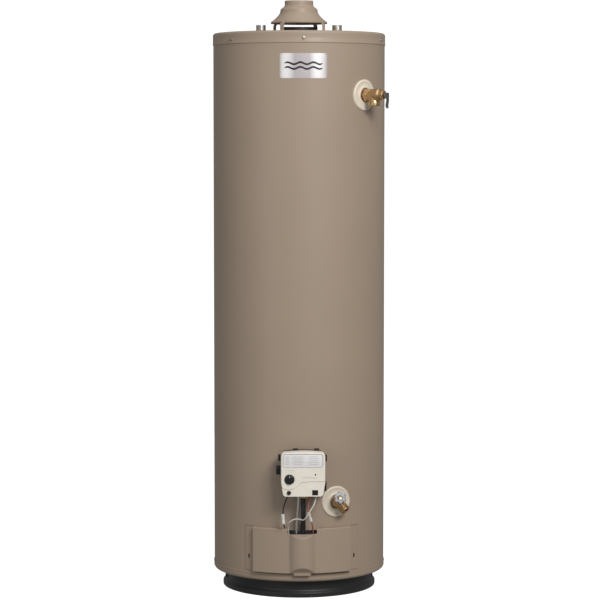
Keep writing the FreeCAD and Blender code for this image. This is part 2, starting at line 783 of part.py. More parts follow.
def relief_spring():
    helix = Part.makeHelix(4.6, 34.8, 7.6)
    ring = Part.Wire(Part.makeCircle(0.9, V(7.6, 0, 0), V(0, 1, 0.1)))
    coil = Part.Wire(helix.Edges).makePipeShell([ring], True, True)
    return made(coil, RELIEF * at(0, 0, 252.6))


def relief_lever():
    ears = []
    for x in (-5.4, 4.2):
        outline = [(-2.4, -5.2), (3.6, -10), (4.2, -10), (4.2, 4), (1, 5.6, 5.2), (-4, -2, 5.2)]
        frame = FreeCAD.Placement(V(x, 0, RELIEF_PIN), FreeCAD.Rotation(V(0, 0, 1), V(0, 1, 0),
                                                                         V(-1, 0, 0), "XYZ"))
        ears.append(plate(outline, 1.2, frame * at(0, 0, -1.2)))
    web = plate([(4.2, 5), (4.2, -18), (1.2, -28), (2.4, -34.4), (3.8, -34.2), (2.6, -28),
                 (5.4, -17.8), (5.4, 5)], 10.8,
                FreeCAD.Placement(V(5.4, 0, RELIEF_PIN), FreeCAD.Rotation(V(0, 0, 1), V(0, 1, 0),
                                                                          V(-1, 0, 0), "XYZ")))
    hole = cylinder(1.65, 20, at(-10, 0, RELIEF_PIN, (0, 1, 0), 90))
    return place(cut(fuse(*ears, web), hole), RELIEF)


def relief_lever_pin():
    pin = turned([(0, 0), (2.4, 0), (2.4, 1), (1.6, 1), (1.6, 12.4), (2, 12.4), (2, 13.2), (0, 13.2)])
    return place(pin, RELIEF * at(-6.5, 0, RELIEF_PIN, (0, 1, 0), 90))


def relief_probe():
    rod = turned([(0, 108), (4, 112), (5, 114), (5, 192), (8, 195), (8, 199), (4.4, 199), (4.4, 196),
                  (0, 196)])
    windows = box(30, 3, 3, at(0, 0, 193))
    return place(cut(rod, windows), RELIEF)


# ---- drain valve -------------------------------------------------------------------------------------------

DRAIN = outward(d.drain_angle, d.drain_height, d.drain_roll)
DRAIN_BODY = 245.0
DRAIN_STEM = tilted(DRAIN, 0, DRAIN_BODY, 35)
DRAIN_SPOUT = tilted(DRAIN, 0, DRAIN_BODY, -50)
HANDLE_FROM = 26.0


def ball(radius, placement):
    obj = doc.addObject("Part::Sphere", "Sphere")
    bind(obj, "Radius", radius)
    return place(obj, placement)


def drain_valve_body():
    inlet = turned([(0, 195), (12.3, 195), (13.35, 198), (13.35, 234), (11.5, 236), (11.5, 246), (0, 246)],
                   DRAIN)
    collar = hexagon(27, 5, DRAIN * at(0, 0, 233))
    bonnet = turned([(0, 0), (10.5, 0), (10.5, 13), (9, 14), (0, 14)], DRAIN_STEM)
    gland = hexagon(17.5, 6.5, DRAIN_STEM * at(0, 0, 14))
    spout = turned([(0, 0), (11.2, 0), (11.2, 13), (13.3, 14), (13.3, 29), (12.5, 30), (0, 30)], DRAIN_SPOUT)
    solid = fuse(inlet, collar, ball(14.5, DRAIN * at(0, 0, DRAIN_BODY)), bonnet, gland, spout)
    bores = [cylinder(8, 47, DRAIN * at(0, 0, 190)), cylinder(8.3, 40, DRAIN_SPOUT * at(0, 0, 5.6)),
             turned([(0, -13.3), (4.3, -13.3), (4.3, -5), (7.8, -5), (7.8, 10), (3.05, 10), (3.05, 40), (0, 40)],
                    DRAIN_STEM)]
    return cut(solid, *bores)


def drain_stem():
    return turned([(0, -2.6), (6, -2.6), (6, 0.6), (3, 1.6), (3, 33), (0, 33)], DRAIN_STEM)


def drain_washer():
    return turned([(0, -5), (7, -5), (7.2, -4.4), (7.2, -2.6), (0, -2.6)], DRAIN_STEM)


def drain_handle():
    r = 17.0
    wheel = turned([(3, 0), (6.5, 0), (7, 1.6), (r - 2.5, 1.6), (r, 2.6), (r, 4.4), (r - 2.5, 5.6), (7, 4.6),
                    (5.6, 6.4), (3, 6.4)])
    scallops = copies(cylinder(4.2, 20, at(number(r) + 2.2, 0, -5)), round_axis(range(0, 360, 60)))
    return place(cut(wheel, scallops), DRAIN_STEM * at(0, 0, HANDLE_FROM))


# ---- gas control -------------------------------------------------------------------------------------------

CONTROL = facing_front(0, 0, d.control_bottom)


def control_outline(inset):
    """The outline of the gas control, from its lower left, drawn in by an inset."""
    w, h, i = d.cover_width / 2, d.cover_height, inset
    return [(-(w - 13.5), i), (w - 13.5, i, 9.5), (w - 4.4 - i, 8 + i * 0.4), (w - i, 36),
            (w - i, h - 10, 10 - i), (w - 10, h - i, 380), (-(w - 10), h - i, 10 - i), (-(w - i), h - 10),
            (-(w - i), 36), (-(w - 4.4 - i), 8 + i * 0.4, 9.5)]


def front_plate(outline, y_from, y_to):
    """A plate facing the front, between two distances from the tank axis."""
    return plate(outline, y_to - y_from, CONTROL * at(0, 0, y_from))


def at_front(x, y, z=0):
    """A place on the gas control: right, up from its lower edge, and forward from the tank axis."""
    return CONTROL * at(x, y, z)


def gas_control_cover():
    front, back, wall = d.cover_front, d.cover_back, d.cover_wall
    outer = front_plate(control_outline(0), back, front)
    inner = front_plate(control_outline(number(wall)), back - 1, front - 4.5)
    step = [(-62, -5), (62, -5), (62, 39.5), (8, 39.5, 42.7), (-13.5, 33.7, -24.5), (-56.8, 32.8), (-62, 32.8)]
    recess = front_plate(step, front - 2, front + 2)
    window = front_plate(rounded(101.7, 34.2, 6, -0.6, 93.9), front - 0.9, front + 2)
    openings = [cylinder(12.9, 40, at_front(d.knob_x, d.knob_y, front - 20)),
                cylinder(5.3, 40, at_front(-36.7, 10, front - 20)),
                cylinder(2.2, 40, at_front(31.5, 57, front - 20)),
                box(15.2, 13.8, 60, at_front(30.7, 10, front - 20)),
                box(30, 8, 28, at_front(29, 0, back - 1))]
    return cut(outer, inner, recess, window, *openings)


def gas_control_body():
    front, back = 286.0, 243.0
    block = front_plate(control_outline(3), back, front)
    shank = turned([(0, 195), (12.3, 195), (13.35, 198), (13.35, 211), (20, 211), (20, 244), (0, 244)],
                   outward(0, control_height()))
    inlet = cylinder(12.2, 30, at_front(-38, 62, 256) * at(0, 0, 0, (0, 1, 0), -90))
    tabs = [box(12, 16, 14, at_front(-57, 95, 252)), box(12, 16, 14, at_front(57, 93, 252)),
            box(12, 23, 14, at_front(56, 19.5, 252)), box(13, 12, 12, at_front(-18.5, 112, 254)),
            box(13, 12, 12, at_front(36.5, 112, 254))]
    bore = cylinder(9.6, 18, at_front(-52, 62, 256) * at(0, 0, 0, (0, 1, 0), -90))
    stem_bore = cylinder(3.05, 40, at_front(d.knob_x, d.knob_y, 260))
    button_bore = cylinder(2.25, 40, at_front(-36.7, 10, 264))
    outlet = cylinder(6.35, 14, at(d.manifold_x, -262, number(d.control_bottom) - 4))
    pilot_outlet = cylinder(3.175, 14, at(-10, -262, number(d.control_bottom) - 4))
    return cut(fuse(block, shank, inlet, *tabs), bore, stem_bore, button_bore, outlet, pilot_outlet)


def control_label():
    front = d.cover_front - 0.9
    return front_plate(rounded(100.7, 33.2, 5.5, -0.6, 93.9), front, front + 0.3)


def control_knob():
    start = number(d.cover_front) - 2.6
    r = d.knob_radius
    knob = turned([(3.05, 0), (r, 0), (r, 7.4), (r - 1.6, 9.4), (3.05, 9.4)])
    cap = cylinder(4.2, 1.4, at(0, 0, 9.3))
    grip = box(4, 20, 2.2, at(0, 0, 9))
    return place(fuse(knob, cap, grip), at_front(d.knob_x, d.knob_y, start))


def knob_stem():
    return cylinder(3, 46.5, at_front(d.knob_x, d.knob_y, 269))


def igniter_button():
    button = turned([(0, 274), (2.2, 274), (2.2, 296), (4.7, 297), (4.7, 301), (6.6, 301), (6.6, 303.6),
                     (4.8, 303.6), (4.8, 312.2), (4.1, 313), (0, 313)])
    return place(button, at_front(-36.7, 10))


def status_light():
    lens = turned([(0, 302.5), (3.4, 302.5), (3.4, 304.7), (2.1, 304.7), (2.1, 309.4), (1.2, 310), (0, 310)])
    return place(lens, at_front(31.5, 57))


def thermopile_plug():
    plug = fuse(box(14.4, 13, 20, at_front(30.7, 10, 286)), box(6, 4, 2, at_front(30.7, 13, 305)))
    return cut(plug, cylinder(d.lead_radius, 10, at(34, -291, 285)))


def thermowell():
    end = cylinder(9.5, 122, outward(0, control_height()) * at(0, 0, 73))
    tip = ball(9.5, outward(0, control_height()) * at(0, 0, 73))
    return fuse(end, tip)


# ---- gas tubes and leads -----------------------------------------------------------------------------------

MANIFOLD_ROUTE = [(2, -262, 292), (2, -262, 224), (2, -237, 191), (2, -237, 136), (2, -226, 118), (2, -160, 118)]
PILOT_ROUTE = [(-10, -262, 292), (-10, -262, 266), (-13.6, -256, 224), (-15, -240, 192), (-15, -237, 152),
               (-15, -226, 136), (-15, -90, 136)]
WHITE_ROUTE = [(34, -291, 290), (33.6, -291, 268), (15.5, -291, 240), (3.5, -280, 217.5), (-8, -266, 220),
               (-24, -260, 218.5), (-35.5, -253, 208), (-37, -238, 196), (-35.5, -230, 176), (-30, -222, 150),
               (-26, -213, 130), (-26, -200, 130)]
RED_ROUTE = [(22, -281, 288), (21.4, -281, 276), (13.6, -281, 260), (14, -279, 243), (18.4, -276, 227),
             (26, -266, 204), (27, -240, 190), (30, -228, 168), (31, -222, 128), (31, -210.6, 112)]
BLACK_ROUTE = [(-38, -262, 288), (-38.6, -262, 277), (-47.5, -260.6, 258), (-51.6, -260, 236),
               (-48.6, -258, 202), (-46, -235, 195), (-45, -230, 176), (-42, -222, 150), (-38, -212, 134),
               (-38, -196, 134)]


def manifold_tube():
    return tube(MANIFOLD_ROUTE, 6.35, 5.1, name="manifold tube")


def pilot_tube():
    return tube(PILOT_ROUTE, 3.175, 2.2, name="pilot tube")


def tube_nuts():
    z = number(d.control_bottom) + 3 - 13
    large = cut(hexagon(17, 13, at(d.manifold_x, -262, z)), cylinder(6.35, 30, at(d.manifold_x, -262, z - 5)))
    small = cut(hexagon(10, 11, at(-10, -262, z + 2)), cylinder(3.175, 30, at(-10, -262, z - 5)),
                cylinder(9.9, 30, at(d.manifold_x, -262, z - 5)))
    group = doc.addObject("Part::Compound", "Nuts")
    group.Links = [large, small]
    return group


def lead(route, name):
    return tube(route, d.lead_radius, name=name)


def lead_connectors(*sleeves):
    """Sleeves over the joints of two leads, each on the straight run after a corner of its lead's route."""
    shapes = []
    for inside, route, corner, radius in sleeves:
        start, end = V(*route[corner]), V(*route[corner + 1])
        along = end - start
        sleeve = Part.makeCylinder(radius, along.Length * 0.84, start + along * 0.08, along)
        shapes.append(sleeve.cut(inside.Shape))
    return made(Part.makeCompound(shapes))


# ---- burner compartment ------------------------------------------------------------------------------------

def standing(radius, height, z, y):
    """A vertical cylinder in front of the tank."""
    return cylinder(radius, height, at(0, y, z))


def bulge_block(radius, low, high, slope):
    """The tube channel's form: an upright half-round bar with sloped ends."""
    centre = -216.0
    bar = standing(radius, high - low + 60, low - 30, centre)
    top = box(160, 160, 60, at(0, centre - radius, high, FRONT, slope))
    bottom = box(160, 160, 60, at(0, centre - radius, low, FRONT, -slope) * at(0, 0, -60))
    return cut(bar, top, bottom)


def access_door():
    low, high, t = d.door_bottom, d.door_top, d.door_sheet
    r, span = d.body_radius, d.door_span
    face = r + d.door_depth
    outer = fuse(wedge(face, low, high, span), bulge_block(number(d.bulge_radius), 88, 166, 43))
    inner = fuse(wedge(face - t, low - 5, high - t, span - 0.5),
                 bulge_block(number(d.bulge_radius - t), 88.4, 165.6, 43))
    raised = cut(outer, inner, cylinder(r, 200, at(0, 0, 40)), cylinder(r + 60, low - 30, at(0, 0, 30)))
    tab = sector(face - t, face, low - 6, low + 3.4, 10.4)
    lugs = sector(r, r + t, low, high, d.door_flange_span)
    inside = sector(r - 5, r + t + 5, low - 5, high + 5, span - 0.5)
    flanges = cut(lugs, inside)
    notch = box(76, 80, 40, at(0, -260, 176))
    gap = sector(r - 5, face - t, 186, 200, 27)
    holes = [side_hole(a, 108.6, 2.2) for a in (-37, 37)]
    return cut(fuse(raised, flanges, tab), notch, gap, *holes)


def wedge(radius, low, high, span):
    return cylinder(radius, high - low, at(0, 0, low, turn=-90 - number(span) / 2), span)


INNER_SCREWS = [(a, z) for a in (-24.5, 24.5) for z in (84, 131, 178)]


def inner_cutouts():
    """Where the tubes and leads go through the inner door."""
    return [cylinder(6.6, 60, at(d.manifold_x, -180, d.manifold_height, FRONT, 90)),
            cylinder(3.4, 60, at(-15, -180, 136, FRONT, 90)),
            cylinder(d.lead_radius, 60, at(-38, -180, 134, FRONT, 90)),
            cylinder(d.lead_radius, 60, at(-26, -180, 130, FRONT, 90)),
            side_hole(7, 156, 9.6)]


def inner_door():
    r = d.tank_radius + 2
    panel = sector(r, r + 1.5, 79, 183, 54)
    grommets = common(fuse(cylinder(5, 40, at(-38, -190, 134, FRONT, 90)),
                           cylinder(5, 40, at(-26, -190, 130, FRONT, 90))), sector(r + 1, r + 4, 80, 180, 54))
    switch = common(cylinder(9, 40, at(31, -190, 112, FRONT, 90)), sector(r + 1, r + 6, 80, 180, 54))
    screws = [side_hole(a, z, 2.1) for a, z in INNER_SCREWS]
    return cut(fuse(panel, grommets, switch), *inner_cutouts(), *screws)


def inner_door_gasket():
    r = d.tank_radius
    frame = cut(sector(r, r + 2, 79, 183, 54), sector(r - 1, r + 3, 90, 172, 42))
    return cut(frame, *[side_hole(a, z, 2.1) for a, z in INNER_SCREWS])


def inner_door_screws():
    seat = number(d.tank_radius) + 3.5
    screw = turned([(0, -3.4), (2, -3.4), (2, 0), (5, 0), (5, 1), (3.6, 1.2), (3.6, 4), (0, 4)])
    return copies(screw, [outward(a, z) * at(0, 0, seat) for a, z in INNER_SCREWS])


def sight_glass():
    lens = turned([(0, 203.6), (9.4, 203.6), (9.4, 207.2), (12, 207.2), (12, 209), (0, 209)],
                  outward(7, 156))
    return lens


def burner():
    top, low = 132.0, 104.0
    outer = turned([(0, low), (70, low), (76, low + 6), (76, top - 5), (68, top), (0, top)])
    inner = turned([(0, low + 1.2), (69.5, low + 1.2), (74.8, low + 6.4), (74.8, top - 5.6),
                    (67.6, top - 1.2), (0, top - 1.2)])
    legs = [cylinder(3, low + 1 - 53.9, at(62 * math.cos(a), 62 * math.sin(a), 53.9))
            for a in (0.5, 2.6, 4.7)]
    port = cylinder(1.6, 10, at(58, 0, top - 5))
    ports = copies(port, round_axis(range(0, 360, 12)))
    pan = cut(outer, inner, ports, cylinder(11.2, 60, at(2, -40, 118, FRONT, 90)))
    return fuse(pan, *legs)


def burner_venturi():
    along = at(2, 0, 118, FRONT, 90)
    pipe = turned([(10, 40), (11.2, 40), (11.2, 120), (16.5, 148), (16.5, 166), (15.3, 166), (15.3, 148.4),
                   (10, 120.4)], along)
    bridge = box(5, 33, 3, along * at(0, 0, 161))
    hub = cylinder(9, 3, at(2, -161, 118, FRONT, 90))
    return cut(fuse(pipe, bridge, hub), cylinder(6.35, 40, at(2, -150, 118, FRONT, 90)))


def pilot_assembly():
    bracket = box(34, 34, 3, at(-15, -72, 132))
    block = box(30, 10, 16, at(-15, -84, 130))
    arm = box(20, 4, 22, at(-15, -77, 133))
    hood = cylinder(4, 20, at(-15, -84, 144))
    generator = cylinder(4, 30, at(-25, -84, 144))
    electrode = cylinder(1.6, 26, at(-5, -84, 144))
    socket = cylinder(3.175, 12, at(-15, -84, 136, FRONT, 90))
    return cut(fuse(bracket, block, arm, hood, generator, electrode), socket)


# ---- the assembly ------------------------------------------------------------------------------------------

keep("base_ring", base_ring())
keep("bottom_pan", bottom_pan())
keep("jacket", jacket())
keep("top_pan", top_pan())
keep("top_pan_screws", top_pan_screws())
keep("foam_insulation", foam_insulation())
keep("chamber_insulation", chamber_insulation())
keep("name_plate", name_plate())
keep("tank_shell", tank_shell())
keep("tank_top_head", tank_top_head())
keep("tank_bottom_head", tank_bottom_head())
keep("flue_tube", flue_tube())
keep("flue_baffle", flue_baffle())
keep("combustion_skirt", combustion_skirt())
keep("chamber_floor", chamber_floor())
keep("flame_arrestor", flame_arrestor())
keep("draft_hood", draft_hood())
keep("draft_hood_legs", draft_hood_legs())
keep("draft_hood_rivets", draft_hood_rivets())
keep("hot_nipple", nipple(-d.nipple_offset))
keep("cold_nipple", nipple(d.nipple_offset))
keep("heat_trap_liners", heat_trap_liners())
keep("dip_tube", dip_tube())
keep("anode_rod", anode_rod())
keep("relief_ring", cover_ring(d.relief_angle, d.relief_height))
keep("relief_valve_body", relief_valve_body())
keep("relief_stem", relief_stem())
keep("relief_spring", relief_spring())
keep("relief_lever", relief_lever())
keep("relief_lever_pin", relief_lever_pin())
keep("relief_probe", relief_probe())
keep("drain_ring", cover_ring(d.drain_angle, d.drain_height))
keep("drain_valve_body", drain_valve_body())
keep("drain_stem", drain_stem())
keep("drain_washer", drain_washer())
keep("drain_handle", drain_handle())
keep("gas_control_body", gas_control_body())
keep("gas_control_cover", gas_control_cover())
keep("control_label", control_label())
keep("control_knob", control_knob())
keep("knob_stem", knob_stem())
keep("igniter_button", igniter_button())
keep("status_light", status_light())
keep("thermopile_plug", thermopile_plug())
keep("thermowell", thermowell())
keep("manifold_tube", manifold_tube())
keep("pilot_tube", pilot_tube())
keep("tube_nuts", tube_nuts())
keep("thermopile_lead_white", lead(WHITE_ROUTE, "white lead"))
red_lead = keep("thermopile_lead_red", lead(RED_ROUTE, "red lead"))
black_lead = keep("igniter_lead", lead(BLACK_ROUTE, "black lead"))
keep("lead_connectors", lead_connectors((red_lead, RED_ROUTE, 4, 3.8), (black_lead, BLACK_ROUTE, 3, 4.4)))
keep("access_door", access_door())
keep("inner_door", inner_door())
keep("inner_door_gasket", inner_door_gasket())
keep("inner_door_screws", inner_door_screws())
keep("sight_glass", sight_glass())
keep("burner", burner())
keep("burner_venturi", burner_venturi())
keep("pilot_assembly", pilot_assembly())

doc.recompute()
for obj in doc.Objects:
    bad = [state for state in obj.State if state in ("Invalid", "Error")]
    assert not bad, f"{obj.Label} is {bad}"
    if hasattr(obj, "Shape") and obj.TypeId != "Sketcher::SketchObject":
        ok = not obj.Shape.isNull() and obj.Shape.isValid()
        assert ok or obj.TypeId.startswith("App::"), f"{obj.Label} has a bad shape"

os.makedirs("parts", exist_ok=True)
for piece in PIECES:
    piece.Shape.exportStep(f"parts/{piece.Label}.step")
print(len(PIECES), "pieces")
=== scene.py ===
import json
import math

import bmesh
import bpy
from mathutils import Matrix, Vector


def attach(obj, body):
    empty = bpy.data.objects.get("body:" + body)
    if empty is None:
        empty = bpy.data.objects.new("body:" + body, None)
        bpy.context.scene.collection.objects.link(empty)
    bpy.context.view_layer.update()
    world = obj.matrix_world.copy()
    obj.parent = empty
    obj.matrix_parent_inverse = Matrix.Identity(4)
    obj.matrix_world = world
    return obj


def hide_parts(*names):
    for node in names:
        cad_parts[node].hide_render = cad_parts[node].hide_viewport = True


# The looks of a gas-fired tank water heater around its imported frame. Shapes are written in millimetres in
# the frame's own axes (origin on the floor at the tank axis, +Z up, -Y front) and scaled to metres as they
# are made.

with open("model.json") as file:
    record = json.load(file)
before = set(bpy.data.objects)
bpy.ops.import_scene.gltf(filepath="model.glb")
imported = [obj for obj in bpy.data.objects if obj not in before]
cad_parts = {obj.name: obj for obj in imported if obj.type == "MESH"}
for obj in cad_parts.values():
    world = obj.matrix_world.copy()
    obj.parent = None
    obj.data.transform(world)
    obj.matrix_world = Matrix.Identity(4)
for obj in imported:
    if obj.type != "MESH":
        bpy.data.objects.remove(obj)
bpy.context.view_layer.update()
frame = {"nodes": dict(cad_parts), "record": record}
MM = 0.001
UP = Vector((0, 0, 1))


# ---- camera, floor and light -------------------------------------------------------------------------------

def make_camera():
    """A nearly level view from 6 m away, a little left of the front, pitched down onto the heater."""
    data = bpy.data.cameras.new("camera")
    camera = bpy.data.objects.new("camera", data)
    bpy.context.scene.collection.objects.link(camera)
    distance, left, height = 6.054, math.radians(2.0), 1.219
    camera.location = (-distance * math.sin(left), -distance * math.cos(left), height)
    camera.rotation_euler = (math.radians(90 - 4.25), 0, -left - math.radians(0.025))
    data.lens = 135.4
    data.sensor_width = 36
    bpy.context.scene.camera = camera


def area_light(name, place, aim, size, power):
    data = bpy.data.lights.new(name, "AREA")
    data.shape = "RECTANGLE"
    data.size, data.size_y = size
    data.energy = power
    light = bpy.data.objects.new(name, data)
    bpy.context.scene.collection.objects.link(light)
    light.location = place
    light.rotation_euler = (Vector(aim) - Vector(place)).to_track_quat("-Z", "Y").to_euler()


def make_world(shown, lit):
    """A white backdrop behind everything, and a dimmer, even light from all round."""
    world = bpy.data.worlds.new("studio")
    bpy.context.scene.world = world
    world.use_nodes = True
    nodes, links = world.node_tree.nodes, world.node_tree.links
    nodes.clear()
    out = nodes.new("ShaderNodeOutputWorld")
    mix = nodes.new("ShaderNodeMixShader")
    path = nodes.new("ShaderNodeLightPath")
    for socket, strength in ((1, lit), (2, shown)):
        background = nodes.new("ShaderNodeBackground")
        background.inputs["Strength"].default_value = strength
        links.new(background.outputs[0], mix.inputs[socket])
    links.new(path.outputs["Is Camera Ray"], mix.inputs[0])
    links.new(mix.outputs[0], out.inputs[0])


def make_floor():
    mesh = bpy.data.meshes.new("floor")
    sides = 96
    rim = [(3 * math.cos(2 * math.pi * i / sides), 3 * math.sin(2 * math.pi * i / sides), 0)
           for i in range(sides)]
    mesh.from_pydata(rim, [], [list(range(sides))])
    floor = bpy.data.objects.new("floor", mesh)
    bpy.context.scene.collection.objects.link(floor)
    finish = Finish("floor_white", (0.55, 0.55, 0.55), 0.9)
    finish.set("Emission Color", (1, 1, 1, 1))
    finish.set("Emission Strength", 0.95)
    grain = finish.noise(6, 4)
    finish.colour(grain, (0.53, 0.53, 0.53), (0.57, 0.57, 0.57))
    mesh.materials.append(finish.material)
    floor.visible_diffuse = False
    floor.visible_glossy = False


# ---- finishes ----------------------------------------------------------------------------------------------

class Finish:
    """A procedural material: one principled shader with noise in its colour, roughness and bump."""

    def __init__(self, name, colour, roughness, metallic=0.0):
        self.material = bpy.data.materials.new(name)
        self.material.use_nodes = True
        tree = self.material.node_tree
        self.nodes, self.links = tree.nodes, tree.links
        self.shader = self.nodes["Principled BSDF"]
        self.normal = None
        self.set("Base Color", (*colour, 1))
        self.set("Roughness", roughness)
        self.set("Metallic", metallic)
        self.where = self.nodes.new("ShaderNodeTexCoord").outputs["Object"]

    def set(self, socket, value):
        self.shader.inputs[socket].default_value = value

    def stretched(self, stretch):
        mapping = self.nodes.new("ShaderNodeMapping")
        mapping.inputs["Scale"].default_value = stretch
        self.links.new(self.where, mapping.inputs["Vector"])
        return mapping.outputs[0]

    def noise(self, scale, detail=2.0, stretch=None, rough=0.5):
        node = self.nodes.new("ShaderNodeTexNoise")
        node.inputs["Scale"].default_value = scale
        node.inputs["Detail"].default_value = detail
        node.inputs["Roughness"].default_value = rough
        self.links.new(self.stretched(stretch) if stretch else self.where, node.inputs["Vector"])
        return node.outputs["Fac"]

    def cells(self, scale):
        node = self.nodes.new("ShaderNodeTexVoronoi")
        node.inputs["Scale"].default_value = scale
        self.links.new(self.where, node.inputs["Vector"])
        return node.outputs["Distance"]

    def bands(self, scale, axis, distortion=0.0):
        node = self.nodes.new("ShaderNodeTexWave")
        node.bands_direction = axis
        node.inputs["Scale"].default_value = scale
        node.inputs["Distortion"].default_value = distortion
        self.links.new(self.where, node.inputs["Vector"])
        return node.outputs["Fac"]

    def height(self, low, high):
        """A ramp from 0 at one height to 1 at another, in millimetres."""
        split = self.nodes.new("ShaderNodeSeparateXYZ")
        self.links.new(self.where, split.inputs[0])
        return self.spread(split.outputs["Z"], 0, 1, low * MM, high * MM)

    def spread(self, source, low, high, from_low=0.25, from_high=0.75):
        node = self.nodes.new("ShaderNodeMapRange")
        for socket, value in (("From Min", from_low), ("From Max", from_high), ("To Min", low),
                              ("To Max", high)):
            node.inputs[socket].default_value = value
        self.links.new(source, node.inputs["Value"])
        return node.outputs[0]

    def product(self, first, second):
        node = self.nodes.new("ShaderNodeMath")
        node.operation = "MULTIPLY"
        self.links.new(first, node.inputs[0])
        self.links.new(second, node.inputs[1])
        return node.outputs[0]

    def colour(self, source, low, high, near=0.3, far=0.7):
        """Colour from low to high with a source. With no low, the high colour lies over what is there."""
        factor = self.spread(source, 0, 1, near, far)
        node = self.nodes.new("ShaderNodeMix")
        node.data_type = "RGBA"
        self.links.new(factor, node.inputs["Factor"])
        before = self.shader.inputs["Base Color"]
        if low is None:
            self.links.new(before.links[0].from_socket, node.inputs["A"])
        else:
            node.inputs["A"].default_value = (*low, 1)
        node.inputs["B"].default_value = (*high, 1)
        self.links.new(node.outputs["Result"], before)

    def roughness(self, source, low, high):
        self.links.new(self.spread(source, low, high), self.shader.inputs["Roughness"])

    def bump(self, source, depth, strength=1.0):
        """Adds relief of a depth in millimetres."""
        node = self.nodes.new("ShaderNodeBump")
        node.inputs["Distance"].default_value = depth * MM
        node.inputs["Strength"].default_value = strength
        self.links.new(source, node.inputs["Height"])
        if self.normal is not None:
            self.links.new(self.normal, node.inputs["Normal"])
        self.normal = node.outputs[0]
        self.links.new(self.normal, self.shader.inputs["Normal"])


def shade(colour, factor):
    return tuple(c * factor for c in colour)


def paint(name, colour, roughness, peel=0.05, coat=0.0):
    """Sprayed enamel: orange peel, the sheet's slow waves, and a faint drift of colour."""
    finish = Finish(name, colour, roughness)
    finish.colour(finish.noise(5, 3), shade(colour, 0.972), shade(colour, 1.024))
    finish.roughness(finish.noise(14, 4), roughness - 0.04, roughness + 0.05)
    finish.bump(finish.noise(2.2, 1, (1, 1, 0.4)), 2.2)
    finish.bump(finish.noise(620, 2), peel)
    finish.set("Coat Weight", coat)
    finish.set("Coat Roughness", 0.22)
    return finish


def plastic(name, colour, roughness, grain=0.02, spread=0.03):
    """Moulded plastic with a fine eroded grain."""
    finish = Finish(name, colour, roughness)
    finish.colour(finish.noise(38, 3), shade(colour, 1 - spread), shade(colour, 1 + spread))
    finish.roughness(finish.noise(60, 4), roughness - 0.06, roughness + 0.08)
    finish.bump(finish.noise(1900, 2), grain)
    return finish


def metal(name, colour, roughness, dark=0.75, brushed=None, grain=0.02):
    """Bare metal with tarnish in its hollows and, if it is brushed, a lay."""
    finish = Finish(name, colour, roughness, 1.0)
    finish.colour(finish.noise(70, 5, rough=0.6), shade(colour, dark), colour)
    finish.roughness(finish.noise(140, 4), roughness - 0.06, roughness + 0.10)
    finish.bump(finish.noise(900, 3, brushed), grain)
    return finish


